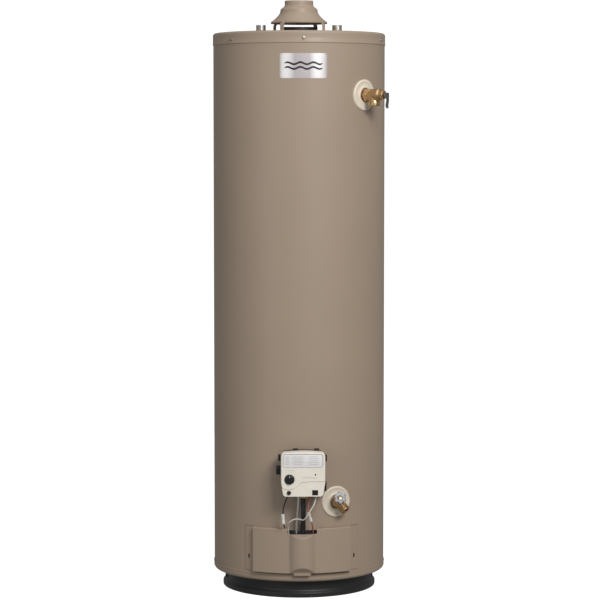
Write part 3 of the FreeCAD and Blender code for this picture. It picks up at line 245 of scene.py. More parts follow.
def make_finishes():
    taupe = paint("taupe_enamel", (0.388, 0.298, 0.222), 0.50, coat=0.06)
    black = paint("black_enamel", (0.016, 0.016, 0.017), 0.42)
    dust = black.product(black.spread(black.height(0, 16), 1, 0, 0, 1), black.noise(60, 6, rough=0.7))
    black.colour(dust, None, (0.07, 0.062, 0.052), 0.35, 0.8)
    cream = plastic("cream_plastic", (0.80, 0.715, 0.585), 0.42)
    case = plastic("case_plastic", (0.93, 0.865, 0.755), 0.45)
    dark = plastic("black_plastic", (0.012, 0.012, 0.013), 0.38)
    film = Finish("silver_film", (0.86, 0.84, 0.82), 0.45, 0.1)
    film.colour(film.noise(30, 3, (1, 1, 6)), (0.90, 0.88, 0.86), (0.95, 0.93, 0.91))
    film.roughness(film.noise(260, 3, (0.05, 0.05, 3)), 0.36, 0.50)
    film.bump(film.noise(900, 2, (0.04, 0.04, 1)), 0.006)
    foam = Finish("foam", (0.74, 0.60, 0.33), 0.9)
    foam.colour(foam.cells(300), (0.80, 0.67, 0.40), (0.60, 0.47, 0.24), 0.1, 0.6)
    foam.bump(foam.cells(300), 1.2)
    foam.bump(foam.noise(30, 4), 4)
    fibre = Finish("fibreglass", (0.80, 0.70, 0.36), 0.95)
    fibre.colour(fibre.noise(120, 6, (1, 1, 9), 0.7), (0.62, 0.52, 0.24), (0.88, 0.80, 0.50))
    fibre.bump(fibre.noise(260, 6, (1, 1, 7), 0.8), 1.6)
    fibre.set("Sheen Weight", 0.3)
    tank = paint("tank_enamel", (0.035, 0.048, 0.075), 0.55, peel=0.3)
    tank.colour(tank.noise(9, 6, rough=0.7), None, (0.10, 0.065, 0.045), 0.62, 0.8)
    steel = metal("galvanised_steel", (0.50, 0.50, 0.49), 0.42, 0.72)
    steel.colour(steel.cells(90), None, (0.60, 0.61, 0.61), 0.3, 0.9)
    soot = metal("flue_steel", (0.085, 0.078, 0.072), 0.62, 0.55)
    soot.colour(soot.noise(26, 6, rough=0.7), None, (0.14, 0.085, 0.05), 0.58, 0.75)
    plated = metal("plated_steel", (0.80, 0.79, 0.77), 0.24, 0.82)
    brass = metal("brass", (0.78, 0.55, 0.30), 0.30, 0.62, grain=0.05)
    aluminium = metal("aluminium", (0.80, 0.80, 0.81), 0.30, 0.85, (1, 1, 0.05))
    white = plastic("white_plastic", (0.80, 0.79, 0.75), 0.45)
    zinc = metal("cast_zinc", (0.30, 0.30, 0.31), 0.50, 0.7, grain=0.08)
    rubber = plastic("rubber", (0.02, 0.02, 0.02), 0.75, 0.05)
    lead_colours = (("white_lead", (0.80, 0.76, 0.70)), ("red_lead", (0.50, 0.16, 0.12)),
                    ("black_lead", (0.02, 0.02, 0.02)))
    leads = {name: plastic(name, colour, 0.48, 0.03, 0.08) for name, colour in lead_colours}
    glass = Finish("sight_glass", (0.9, 0.95, 0.95), 0.05)
    glass.set("Transmission Weight", 0.9)
    glass.roughness(glass.noise(200, 4), 0.03, 0.16)
    lens = plastic("dark_lens", (0.05, 0.035, 0.025), 0.2)
    gasket = Finish("woven_gasket", (0.66, 0.63, 0.57), 0.95)
    weave = gasket.product(gasket.bands(220, "Z", 1), gasket.bands(220, "X", 1))
    gasket.colour(weave, (0.55, 0.52, 0.46), (0.74, 0.71, 0.65), 0, 0.8)
    gasket.bump(weave, 0.4)
    print_grey = Finish("label_print", (0.30, 0.30, 0.31), 0.6)
    print_grey.colour(print_grey.noise(900, 4), (0.20, 0.20, 0.21), (0.42, 0.42, 0.43))
    emblem = plastic("emblem_ink", (0.016, 0.017, 0.02), 0.35)
    slots = {"taupe_paint": taupe, "black_paint": black, "cream_plastic": cream, "black_plastic": dark,
             "label_film": film, "foam": foam, "fibreglass": fibre, "tank_steel": tank, "steel": steel,
             "plated_steel": plated, "brass": brass, "aluminium": aluminium, "white_plastic": white,
             "zinc": zinc, "rubber": rubber, "glass": glass, "lens": lens, "gasket": gasket, **leads}
    cast = metal("cast_brass", (0.74, 0.50, 0.26), 0.36, 0.60, grain=0.12)
    cast.colour(cast.noise(45, 5, rough=0.65), None, (0.66, 0.42, 0.22), 0.5, 0.8)
    screw = metal("screw_zinc", (0.50, 0.45, 0.38), 0.45, 0.8)
    # The name plate's silver is painted darker in the middle and lighter toward both ends: a painted
    # reflection of lamps at the sides.
    plate = Finish("plate_silver_painted_reflection", (0.6, 0.6, 0.6), 0.45, 0.2)
    plate.colour(plate.bands(3.74, "X", 0.3), (0.53, 0.48, 0.49), (0.93, 0.90, 0.90), 0.45, 1.0)
    plate.roughness(plate.noise(260, 3, (0.05, 0.05, 3)), 0.42, 0.56)
    plate.bump(plate.noise(900, 2, (0.04, 0.04, 1)), 0.006)
    rim = metal("plate_rim", (0.42, 0.42, 0.43), 0.4, 0.9)
    pointer = plastic("pointer_white", (0.75, 0.74, 0.72), 0.5)
    extra = {"soot": soot, "print": print_grey, "emblem": emblem, "cast_brass": cast, "screw": screw,
             "plate": plate, "case": case, "plate_rim": rim, "pointer": pointer}
    return {name: finish.material for name, finish in {**slots, **extra}.items()}


# ---- outlines and shapes -----------------------------------------------------------------------------------

def place_of(x=0, y=0, z=0, turn=0, tip=0):
    """A frame moved to a point, then turned about its Z and tipped about its X."""
    move = Matrix.Translation(Vector((x, y, z)))
    return move @ Matrix.Rotation(math.radians(turn), 4, "Z") @ Matrix.Rotation(math.radians(tip), 4, "X")


def outward(angle, height, roll=0):
    """A side fitting's frame: Z outward from the tank axis at an angle right of the front, Y up."""
    a = math.radians(angle)
    side, up, out = Vector((math.cos(a), math.sin(a), 0)), UP, Vector((math.sin(a), -math.cos(a), 0))
    axes = Matrix((side, up, out)).transposed().to_4x4()
    return Matrix.Translation((0, 0, height)) @ axes @ Matrix.Rotation(math.radians(roll), 4, "Z")


def front_frame(x, height):
    """A frame on the gas control: X right, Y up, Z toward the front, measured from the tank axis."""
    axes = Matrix(((1, 0, 0), (0, 0, 1), (0, -1, 0))).transposed().to_4x4()
    return Matrix.Translation((x, 0, height)) @ axes


def filleted(corners, closed=True, steps=5):
    """An outline's points, with an arc at each corner that is (x, y, radius)."""
    points, count = [], len(corners)
    for i, corner in enumerate(corners):
        p = Vector(corner[:2])
        radius = corner[2] if len(corner) > 2 else 0
        if not radius or (not closed and i in (0, count - 1)):
            points.append(p)
            continue
        back = (Vector(corners[i - 1][:2]) - p).normalized()
        ahead = (Vector(corners[(i + 1) % count][:2]) - p).normalized()
        half = back.angle(ahead) / 2
        centre = p + (back + ahead).normalized() * (radius / math.sin(half))
        first = p + back * (radius / math.tan(half)) - centre
        last = p + ahead * (radius / math.tan(half)) - centre
        for k in range(steps + 1):
            points.append(centre + first.lerp(last, k / steps).normalized() * radius)
    return points


def circle(radius, sides=48):
    turns = [2 * math.pi * i / sides for i in range(sides)]
    return [Vector((radius * math.cos(turn), radius * math.sin(turn))) for turn in turns]


def hexagon(across):
    return [Vector(p) for p in circle(across / math.sqrt(3), 6)]


def rounded_box(width, height, radius, x=0, y=0):
    w, h = width / 2, height / 2
    return filleted([(x - w, y - h, radius), (x + w, y - h, radius), (x + w, y + h, radius),
                     (x - w, y + h, radius)])


def inset(outline, distance):
    """A convex, counter-clockwise outline drawn in by a distance."""
    count, points = len(outline), []
    for i, p in enumerate(outline):
        before, after = (p - outline[i - 1]).normalized(), (outline[(i + 1) % count] - p).normalized()
        normals = Vector((-before.y, before.x)), Vector((-after.y, after.x))
        middle = (normals[0] + normals[1]).normalized()
        points.append(p + middle * (distance / max(0.3, middle.dot(normals[0]))))
    return points


class Shape:
    """A mesh under construction, in millimetres, made of closed shells or of sheets."""

    def __init__(self):
        self.mesh = bmesh.new()

    def loops(self, rings, caps=True):
        """Faces between rings of points, each with the same count. A ring of one point is a pole."""
        made = [[self.mesh.verts.new(p) for p in ring] for ring in rings]
        for low, high in zip(made, made[1:]):
            count = max(len(low), len(high))
            for i in range(count):
                j = (i + 1) % count
                face = [low[i], low[j], high[j], high[i]] if len(low) > 1 and len(high) > 1 else (
                    [low[0], high[j], high[i]] if len(low) == 1 else [low[i], low[j], high[0]])
                self.mesh.faces.new(face)
        if caps:
            for ring, turn in ((made[0], -1), (made[-1], 1)):
                if len(ring) > 2:
                    self.mesh.faces.new(ring[::turn])
        return self

    def hoop(self, rings):
        """A closed shell from rings of points, each joined to the next and the last to the first."""
        made = [[self.mesh.verts.new(p) for p in ring] for ring in rings]
        for low, high in zip(made, made[1:] + made[:1]):
            for i in range(len(low)):
                j = (i + 1) % len(low)
                self.mesh.faces.new([low[i], low[j], high[j], high[i]])
        return self

    def turned(self, outline, place=Matrix(), sides=64, closed=False):
        """A solid of revolution about the frame's Z: an outline (r, z) from its foot to its top. A closed
        outline makes a ring."""
        rings = []
        for r, z in outline:
            if r < 1e-6:
                rings.append([place @ Vector((0, 0, z))])
            else:
                rings.append([place @ Vector((p.x, p.y, z)) for p in circle(r, sides)])
        return self.hoop(rings) if closed else self.loops(rings)

    def prism(self, outline, low, high, place=Matrix(), edge=0.0, steps=3, both=False):
        """A plate between two heights, with rounded edges on its top, or on both faces."""
        levels = [(low, 0.0)]
        if both and edge:
            levels = [(low + edge * (1 - math.sin(t)), edge * (1 - math.cos(t))) for t in
                      (math.pi / 2 * (1 - k / steps) for k in range(steps + 1))]
        if edge:
            levels += [(high - edge + edge * math.sin(t), edge * (1 - math.cos(t))) for t in
                       (math.pi / 2 * k / steps for k in range(steps + 1))]
        else:
            levels.append((high, 0.0))
        rings = [[place @ Vector((p.x, p.y, z)) for p in inset(outline, way)] for z, way in levels]
        return self.loops(rings)

    def thread(self, radius, low, high, pitch, depth, place, sides, bore):
        """A bored pipe thread with a chamfer at its top."""
        rings, count = [], max(8, int((high - low) / pitch * 8))
        for k in range(count + 1):
            z = low + (high - low) * k / count
            fade = min(1, (z - low) / pitch, (high - z) / pitch * 1.5)
            chamfer = max(0, 1.2 - (high - z)) * 0.8
            ring = []
            for i in range(sides):
                turn = i / sides
                phase = (z / pitch - turn) % 1.0
                r = radius - depth * fade * abs(2 * phase - 1) - chamfer
                angle = 2 * math.pi * turn
                ring.append(place @ Vector((r * math.cos(angle), r * math.sin(angle), z)))
            rings.append(ring)
        for z in (high, low):
            rings.append([place @ Vector((p.x, p.y, z)) for p in circle(bore, sides)])
        return self.hoop(rings)

    def grid(self, rows, keep=lambda i, k: True):
        """A sheet of quads from rows of points, leaving out the cells that keep() refuses."""
        made = [[self.mesh.verts.new(p) for p in row] for row in rows]
        for k in range(len(rows) - 1):
            for i in range(len(rows[0]) - 1):
                if keep(i, k):
                    self.mesh.faces.new([made[k][i], made[k][i + 1], made[k + 1][i + 1], made[k + 1][i]])
        loose = [v for v in self.mesh.verts if not v.link_faces]
        bmesh.ops.delete(self.mesh, geom=loose, context="VERTS")
        return self

    def object(self, name, closed=True, angle=32, weld=False):
        if weld:
            bmesh.ops.remove_doubles(self.mesh, verts=self.mesh.verts, dist=1e-4)
        if closed:
            bmesh.ops.recalc_face_normals(self.mesh, faces=self.mesh.faces)
        data = bpy.data.meshes.new(name)
        self.mesh.to_mesh(data)
        self.mesh.free()
        data.transform(Matrix.Scale(MM, 4))
        data.shade_smooth()
        data.set_sharp_from_angle(angle=math.radians(angle))
        made = bpy.data.objects.new(name, data)
        bpy.context.scene.collection.objects.link(made)
        return made


def piece(made, slot, stands_for=(), body="heater", finish=None):
    """Gives a made object a finish, its slot's own unless another is named, and lets it ride on a body in the
    place of CAD nodes.
    """
    made.data.materials.clear()
    made.data.materials.append(FINISHES[finish or slot])
    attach(made, body)
    if stands_for:
        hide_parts(*([stands_for] if isinstance(stands_for, str) else stands_for))
    return made


def sheet_metal(made, thickness):
    """Gives a sheet its thickness, inward from the modelled face."""
    solid = made.modifiers.new("thickness", "SOLIDIFY")
    solid.thickness = thickness * MM
    solid.offset = -1
    solid.use_even_offset = True
    flat = made.modifiers.new("normals", "WEIGHTED_NORMAL")
    flat.keep_sharp = True
    return made


def softened(made, width, segments=2, angle=40):
    """Rounds an object's sharp edges."""
    bevel = made.modifiers.new("edges", "BEVEL")
    bevel.width = width * MM
    bevel.segments = segments
    bevel.limit_method = "ANGLE"
    bevel.angle_limit = math.radians(angle)
    bevel.harden_normals = True
    return made


def carved(made, *tools):
    """Cuts closed shapes out of an object for good."""
    for tool in tools:
        cutter = tool.object("cutter")
        boolean = made.modifiers.new("cut", "BOOLEAN")
        boolean.operation = "DIFFERENCE"
        boolean.solver = "EXACT"
        boolean.object = cutter
        bpy.context.view_layer.update()
        result = bpy.data.meshes.new_from_object(made.evaluated_get(bpy.context.evaluated_depsgraph_get()))
        made.modifiers.clear()
        made.data = result
        bpy.data.objects.remove(cutter)
    made.data.set_sharp_from_angle(angle=math.radians(32))
    return made


def polar(radius, angle, z):
    """A point at an angle right of the front."""
    a = math.radians(angle)
    return Vector((radius * math.sin(a), -radius * math.cos(a), z))


def marked(low, high, step, *marks):
    """Values from low to high about a step apart, with marks among them exactly."""
    values = []
    stops = sorted({low, high, *marks})
    for a, b in zip(stops, stops[1:]):
        count = max(1, round((b - a) / step))
        values += [a + (b - a) * k / count for k in range(count)]
    return values + [high]


def wrapped_sheet(name, profile, cuts=(), step=1.5):
    """A sheet of revolution from a profile (r, z), with windows (angle, angle, z, z) cut from it."""
    angles = marked(-180, 180, step, *[a for cut in cuts for a in cut[:2]])
    rows = []
    for (r0, z0), (r1, z1) in zip(profile, profile[1:]):
        stops = sorted({z for cut in cuts for z in cut[2:] if min(z0, z1) < z < max(z0, z1)}, reverse=z1 < z0)
        for z in [z0, *stops]:
            share = 0 if z1 == z0 else (z - z0) / (z1 - z0)
            rows.append((r0 + (r1 - r0) * share, z))
    rows.append(profile[-1])
    heights = [z for _, z in rows]

    def kept(i, k):
        angle, z = (angles[i] + angles[i + 1]) / 2, (heights[k] + heights[k + 1]) / 2
        return not any(a < angle < b and low < z < high for a, b, low, high in cuts)

    shape = Shape().grid([[polar(r, a, z) for a in angles] for r, z in rows], kept)
    return shape.object(name, closed=False, weld=True)


make_camera()
FINISHES = make_finishes()
BODY, SHEET = 228.6, 0.9
PAN = BODY + 0.15 + SHEET


# ---- leads: free cords from the gas control into the burner compartment ------------------------------------

LEADS = {
    "thermopile_lead_white": ("white_lead", 0.231, [
        (34, -291, 290), (33.6, -291, 268), (15.5, -291, 240), (3.5, -280, 217.5), (-8, -266, 220),
        (-24, -260, 218.5), (-35.5, -253, 208), (-37, -238, 196), (-35.5, -230, 176), (-30, -222, 150),
        (-26, -213, 130), (-26, -200, 130)]),
    "thermopile_lead_red": ("red_lead", 0.201, [
        (22, -281, 288), (21.4, -281, 276), (13.6, -281, 260), (14, -279, 243), (18.4, -276, 227),
        (26, -266, 204), (27, -240, 190), (30, -228, 168), (31, -222, 128), (31, -210.6, 112)]),
    "igniter_lead": ("black_lead", 0.187, [
        (-38, -262, 288), (-38.6, -262, 277), (-47.5, -260.6, 258), (-51.6, -260, 236), (-48.6, -258, 202),
        (-46, -235, 195), (-45, -230, 176), (-42, -222, 150), (-38, -212, 134), (-38, -196, 134)]),
}


def make_lead(node, slot, route):
    """A lead as a smooth curve through its route's own control points."""
    data = bpy.data.curves.new(node + "_cord", "CURVE")
    data.dimensions = "3D"
    spline = data.splines.new("NURBS")
    spline.points.add(len(route) - 1)
    for point, (x, y, z) in zip(spline.points, route):
        point.co = (x * MM, y * MM, z * MM, 1)
    spline.order_u = 3
    spline.use_endpoint_u = True
    spline.resolution_u = 16
    data.bevel_depth = 1.6 * MM
    data.bevel_resolution = 4
    data.use_fill_caps = True
    lead = bpy.data.objects.new(node + "_cord", data)
    bpy.context.scene.collection.objects.link(lead)
    piece(lead, slot, node)
    return lead


def sleeve(name, start, end, radius):
    """A crimp connector's insulating sleeve, with rolled ends and a waist."""
    start, end = Vector(start), Vector(end)
    length = (end - start).length
    axes = (end - start).to_track_quat("Z", "Y").to_matrix().to_4x4()
    place = Matrix.Translation(start) @ axes
    outline = filleted([(1.7, 0), (radius - 0.5, 0, 0.4), (radius, 1.6, 0.8), (radius, length * 0.32, 2),
                        (radius - 0.5, length * 0.42, 3), (radius - 0.5, length * 0.58, 3),
                        (radius, length * 0.68, 2), (radius, length - 1.6, 0.8), (radius - 0.5, length, 0.4),
                        (1.7, length)])
    return piece(Shape().turned(outline, place, 32, closed=True).object(name), "white_plastic")


def make_leads():
    sleeves = [sleeve("red_lead_sleeve", (22.3, -270.6, 214.5), (14.9, -278, 239.5), 3.8),
               sleeve("igniter_lead_sleeve", (-51.4, -259.9, 232), (-48.9, -258.4, 206), 4.4)]
    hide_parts("lead_connectors")
    for node, (slot, length, route) in LEADS.items():
        make_lead(node, slot, route)


# ---- casing ------------------------------------------------------------------------------------------------

def make_casing():
    opening = (-29, 29, 80, 184)
    jacket = wrapped_sheet("jacket_skin", [(BODY, 57), (BODY, 300), (BODY, 700), (BODY, 1100),
                                           (BODY, 1473.5)], [opening])
    piece(sheet_metal(jacket, SHEET), "taupe_paint", "jacket")
    seam = Shape().grid([[polar(BODY + lift, 180 + a, z) for a, lift in
                          ((-1.75, 0.02), (-1.6, 0.7), (-1.2, 1.05), (1.2, 1.05), (1.6, 0.7), (1.75, 0.02))]
                         for z in (72, 400, 800, 1200, 1446)])
    piece(sheet_metal(seam.object("jacket_seam", closed=False), 0.6), "taupe_paint")

    bead = [(PAN, 1453), (PAN + 0.45, 1452.3), (PAN + 0.7, 1451), (PAN + 0.45, 1449.7), (PAN - 0.1, 1449)]
    rim = [Vector((PAN, 1466)), *filleted([(PAN, 1460), (PAN, 1481, 7), (200, 1481)], False, 8)[1:]]
    top = [(p.x, p.y) for p in rim] + [(150, 1481), (100, 1481), (62, 1481), (54.5, 1480.8), (52.4, 1480.2)]
    pan = wrapped_sheet("top_pan_skin", bead[::-1] + top)
    holes = [Shape().turned([(0, 1440), (14.5, 1440), (14.5, 1500), (0, 1500)], place_of(x, 0), 48)
             for x in (-101.6, 101.6)]
    holes.append(Shape().turned([(0, 1440), (22, 1440), (22, 1500), (0, 1500)], place_of(0, 118), 48))
    piece(carved(sheet_metal(pan, SHEET), *holes), "taupe_paint", "top_pan")

    low = filleted([(188, 47), (PAN, 47, 9), (PAN, 64)], False, 8)
    hem = [(PAN, 64.2), (PAN + 0.45, 64.9), (PAN + 0.7, 66), (PAN + 0.45, 67.2), (PAN - 0.1, 68)]
    base = wrapped_sheet("bottom_pan_skin", [(p.x, p.y) for p in low[:-1]] + hem)
    piece(sheet_metal(base, SHEET), "taupe_paint", "bottom_pan")

    slots = [((az + 180) % 360 - 180 - 5.2, (az + 180) % 360 - 180 + 5.2, 24, 33) for az in range(80, 281, 20)
             if az != 180] + [(174.8, 180, 24, 33), (-180, -174.8, 24, 33)]
    foot = filleted([(190, 0.02), (205, 0.02, 3), (205, 12, 3), (199.5, 19, 5), (199.5, 40)], False, 5)[:-1]
    upper = filleted([(199.5, 22), (199.5, 47, 2), (188, 47)], False, 4)
    ring = wrapped_sheet("base_ring_wall", [(p.x, p.y) for p in foot + upper], slots)
    piece(sheet_metal(ring, 2), "black_paint", "base_ring")


def hex_screw(shape, place, across=7.0, flange=5.2):
    """A hex washer head with its seat at the frame's Z 0."""
    shape.turned(filleted([(0, -1), (flange - 0.4, -1), (flange, 0.1, 0.2), (flange - 0.2, 1.0, 0.3),
                           (2.8, 1.3), (0, 1.3)], False), place, 24)
    shape.prism(hexagon(across), 1.0, 4.3, place, 0.55)


def make_screws():
    heads = Shape()
    for az in (-52, 1, 68, 128, 180, -112):
        hex_screw(heads, outward(az, 1461.4) @ place_of(0, 0, PAN, turn=az * 3), 5.8, 4.4)
    piece(heads.object("top_pan_screw_heads"), "taupe_paint", "top_pan_screws", finish="screw")


# ---- flue outlet and water connections ---------------------------------------------------------------------

LEG_ANGLES = (-36.5, 53.5, 143.5, 233.5)


def make_hood():
    collar = filleted([(38.1, 1568), (38.1, 1553.2, 8), (43.4, 1550.4, 4), (49.2, 1545.2, 5), (50.2, 1539)],
                      False, 7)
    flare = []
    for k in range(15):
        t = k / 14
        flare.append((50.2 + 25 * t ** 1.55, 1539 - 27.5 * t))
    bottom = [(75.3, 1509.6), (75.2, 1507.5)]
    profile = [(p.x, p.y) for p in collar[:-1]] + flare + bottom
    hood = wrapped_sheet("draft_hood_bell", profile[::-1], step=2.5)
    piece(sheet_metal(hood, 0.9), "taupe_paint", "draft_hood")

    strip = filleted([(95, 1481.65), (79.2, 1481.65, 1.6), (79.2, 1502.6, 3), (75.95, 1507.6, 3),
                      (75.95, 1512)], False, 5)
    legs = Shape()
    for az in LEG_ANGLES:
        across = outward(az, 0) @ Matrix(((1, 0, 0, 0), (0, 0, 1, 0), (0, 1, 0, 0), (0, 0, 0, 1)))
        count = len(strip)
        normals = []
        for i in range(count):
            step = (strip[min(i + 1, count - 1)] - strip[max(i - 1, 0)]).normalized()
            normals.append(Vector((step.y, -step.x)))
        rings = []
        for p, n in zip(strip, normals):
            ring = []
            for x, side in ((-6, 0.45), (-5.85, 0.6), (5.85, 0.6), (6, 0.45), (6, -0.45), (5.85, -0.6),
                            (-5.85, -0.6), (-6, -0.45)):
                q = p + n * side
                ring.append(across @ Vector((x, q.x, q.y)))
            rings.append(ring)
        legs.loops(rings)
    piece(legs.object("draft_hood_straps"), "taupe_paint", "draft_hood_legs")

    rivets = Shape()
    dome = filleted([(0, -2), (3.1, -2), (3.1, 0.3, 0.3), (2.6, 1.0, 0.8), (0, 1.5)], False, 4)
    for az in LEG_ANGLES:
        rivets.turned(dome, outward(az, 1509.5) @ place_of(0, 0, 76.5), 20)
        rivets.turned(dome, place_of(turn=az) @ place_of(0, -87, 1482.2), 20)
    piece(rivets.object("draft_hood_rivet_heads"), "steel", "draft_hood_rivets")


def make_nipples():
    for node, x in (("hot_nipple", -101.6), ("cold_nipple", 101.6)):
        shape = Shape().thread(13.3, 1481.6, 1504, 1.814, 0.55, place_of(x, 0), 64, 10.4)
        shape.turned([(10.4, 1432), (12.6, 1432), (13.3, 1451), (13, 1453), (13, 1482), (10.4, 1482)],
                     place_of(x, 0), 48, closed=True)
        piece(shape.object(node + "_pipe", angle=50), "plated_steel", node)


# ---- labels ------------------------------------------------------------------------------------------------

def curved_plate(width, height, corner, angle, z, radius):
    """The outer face of a thin plate with round corners, wrapped on the jacket round a middle."""
    w, h = width / 2, height / 2
    columns = sorted({*(k * w / 12 for k in range(-12, 13)),
                      *(side * (w - corner + corner * math.sin(math.radians(10 * k))) for k in range(10)
                        for side in (-1, 1))})
    rows = []
    for share in (-1, -0.5, 0, 0.5, 1):
        row = []
        for c in columns:
            over = max(0.0, abs(c) - (w - corner))
            reach = h - corner + math.sqrt(max(0.0, corner * corner - over * over))
            row.append(polar(radius, angle + math.degrees(c / BODY), z + share * reach))
        rows.append(row)
    return Shape().grid(rows)


def wave_row(width, thick, rise, count, steps=72):
    """Upper and lower edge of a wavy bar: (x, low, high) along it."""
    points = []
    for k in range(steps + 1):
        t = k / steps
        middle = rise * math.sin(2 * math.pi * count * t)
        half = thick / 2 * math.sqrt(max(0.04, 1 - (2 * t - 1) ** 8))
        points.append((width * (t - 0.5), middle - half, middle + half))
    return points


def make_name_plate():
    """A plain silver plate with a raised frame and a generic wavy bar, and no words."""
    angle, z = 1.0, 1390
    plate = curved_plate(123, 64, 6, angle, z, BODY + 0.4)
    # Its finish paints brighter reflections toward the plate's two ends.
    piece(sheet_metal(plate.object("name_plate_film", closed=False), 0.38), "label_film", "name_plate",
          finish="plate")
    rings = [[polar(BODY + 0.55, angle + math.degrees(p.x / BODY), z + p.y) for p in outline]
             for outline in (rounded_box(118.6, 59.6, 5), rounded_box(116.6, 57.6, 4))]
    rim = Shape().loops(rings, caps=False)
    piece(sheet_metal(rim.object("name_plate_frame", closed=False), 0.2), "label_film", finish="plate_rim")
    for k, rise in enumerate((6.0, -6.0)):
        points = wave_row(100, 5.2, 2.6, 3)
        rows = [[polar(BODY + 0.55, angle + math.degrees(x / BODY), z + rise + (low, high)[side])
                 for x, low, high in points] for side in (0, 1)]
        bar = Shape().grid(rows).object(f"name_plate_wave_{k + 1}", closed=False)
        piece(sheet_metal(bar, 0.2), "label_film", finish="emblem")


# ---- cover rings -------------------------------------------------------------------------------------------

def make_cover_ring(name, angle, height, node):
    """A moulded ring on the jacket's curve: a rolled rim, a shallow dish and a raised inner lip."""
    frame_here = outward(angle, height)
    profile = [(40.6, 0.0), (40.6, 1.6), (40.2, 2.9), (39.2, 4.0), (37.6, 4.6), (35.8, 4.7), (34.2, 4.2),
               (32.6, 3.5), (30, 3.1), (26, 3.2), (23.6, 3.6), (22.2, 4.4), (20.8, 4.9), (19.4, 4.8),
               (18.6, 4.1), (18.5, 2.5), (18.5, 0.0)]
    rings = []
    for rho, rise in profile:
        ring = []
        for p in circle(rho, 96):
            r = BODY + rise
            ring.append(frame_here @ Vector((p.x, p.y, math.sqrt(r * r - p.x * p.x))))
        rings.append(ring)
    shape = Shape().hoop(rings)
    piece(shape.object(name, angle=60), "cream_plastic", node)


# ---- relief valve ------------------------------------------------------------------------------------------

RELIEF = outward(46, 1315.6)
RELIEF_PIN = 303.0
RELIEF_OUTLET = 262.0


def make_relief_valve():
    shape = Shape()
    shape.turned([(0, 196), (12.3, 196), (13.2, 199), (13.2, 236), (0, 236)], RELIEF, 32)
    shape.prism(hexagon(31), 235, 246, RELIEF, 1.3, both=True)
    barrel = filleted([(0, 244), (14.6, 244), (16, 247.4, 1), (16, 252, 0.6), (15.3, 253, 0.6),
                       (15.3, 271, 0.6), (16, 272, 0.5), (16, 280.6, 1.2), (14, 283.6, 1),
                       (11.6, 284.6, 0.8), (11.5, 295.4, 1), (10.2, 297, 0.6), (2.9, 297, 0.4), (2.9, 294),
                       (0, 294)], False, 4)
    shape.turned(barrel, RELIEF, 72)
    for k in range(16):
        shape.prism(rounded_box(1.5, 8, 0.6, 0, 0), 10.6, 12.1,
                    RELIEF @ place_of(0, 0, 290.2, turn=22.5 * k) @ place_of(tip=90), 0.4)
    down = RELIEF @ place_of(0, 0, RELIEF_OUTLET, tip=90)
    outlet = filleted([(0, -4), (14, -4), (14, 11, 2), (14.6, 18, 2), (15.4, 20.4, 1), (15.4, 27.4, 1),
                       (14.3, 28.6, 0.6), (12, 28.6, 0.6), (12, 13), (0, 13)], False, 4)
    shape.turned(outlet, down, 64)
    piece(shape.object("relief_valve_casting"), "brass", "relief_valve_body", finish="cast_brass")

    stem = Shape()
    stem.turned(filleted([(0, 286), (2.45, 286), (2.45, 300, 0.5), (0, 300)], False), RELIEF, 24)
    eye = filleted([(-3.7, -4.5, 1), (3.7, -4.5, 1), (3.7, 1, 2), (2.2, 3.7, 2), (-2.2, 3.7, 2),
                    (-3.7, 1, 2)])
    across = Matrix(((0, 0, 1, 0), (1, 0, 0, 0), (0, 1, 0, 0), (0, 0, 0, 1)))
    stem.prism(eye, -2.9, 2.9, RELIEF @ place_of(0, 0, RELIEF_PIN) @ across, 0.4, both=True)
    piece(stem.object("relief_stem_eye"), "brass", "relief_stem", "relief_plunger")

    pin = filleted([(0, 0), (2.4, 0, 0.4), (2.4, 1.1, 0.3), (1.6, 1.1), (1.6, 12.2), (2.2, 12.2, 0.2),
                    (2.0, 13.2, 0.4), (0, 13.2)], False)
    sideways = RELIEF @ place_of(-6.5, 0, RELIEF_PIN) @ Matrix.Rotation(math.pi / 2, 4, "Y")
    shape = Shape().turned(pin, sideways, 24)
    piece(shape.object("relief_lever_rivet"), "steel", "relief_lever_pin", "relief_plunger")
    make_relief_lever()


def make_relief_lever():
    """A pressed lever: a channel with two ears on the pin and a tongue curled out at its end."""
    path = filleted([(4.8, 5.2), (4.8, -16, 10), (2.2, -28, 14), (4.4, -34.8)], False, 6)
    steps = []
    for i, p in enumerate(path):
        way = (path[min(i + 1, len(path) - 1)] - path[max(i - 1, 0)]).normalized()
        steps.append((p, Vector((-way.y, way.x))))
    shape = Shape()
    rings = []
    for p, normal in steps:
        t = min(1.0, max(0.0, (5.2 - p.y) / 40))
        half = 5.4 if p.y > -18 else 5.4 - 1.5 * max(0.0, (-30 - p.y)) / 5
        ring = []
        for x, side, lift in ((-half, -0.6, 0), (-half * 0.5, -0.6, 0.5 * t), (0, -0.6, 0.7 * t),
                              (half * 0.5, -0.6, 0.5 * t), (half, -0.6, 0), (half, 0.6, 0),
                              (half * 0.5, 0.6, 0.5 * t), (0, 0.6, 0.7 * t), (-half * 0.5, 0.6, 0.5 * t),
                              (-half, 0.6, 0)):
            q = p - normal * (side + lift)
            ring.append(RELIEF @ Vector((x, q.y, RELIEF_PIN + q.x)))
        rings.append(ring)
    shape.loops(rings)
    ear = filleted([(-2.4, -5.2, 1.5), (3.6, -10, 1), (4.2, -10), (4.2, 4.4, 0.5), (0.6, 5.2, 4),
                    (-4.2, 1.6, 3.6), (-4.2, -2.6, 2.4)])
    upright = Matrix(((0, 0, 1, 0), (0, 1, 0, 0), (1, 0, 0, 0), (0, 0, 0, 1)))
    for x in (-5.4, 4.2):
        side = RELIEF @ place_of(x, 0, RELIEF_PIN) @ upright
        shape.prism(ear, 0, 1.2, side, 0.25, both=True)
    piece(shape.object("relief_test_lever"), "zinc", "relief_lever", "relief_handle")


# ---- drain valve -------------------------------------------------------------------------------------------

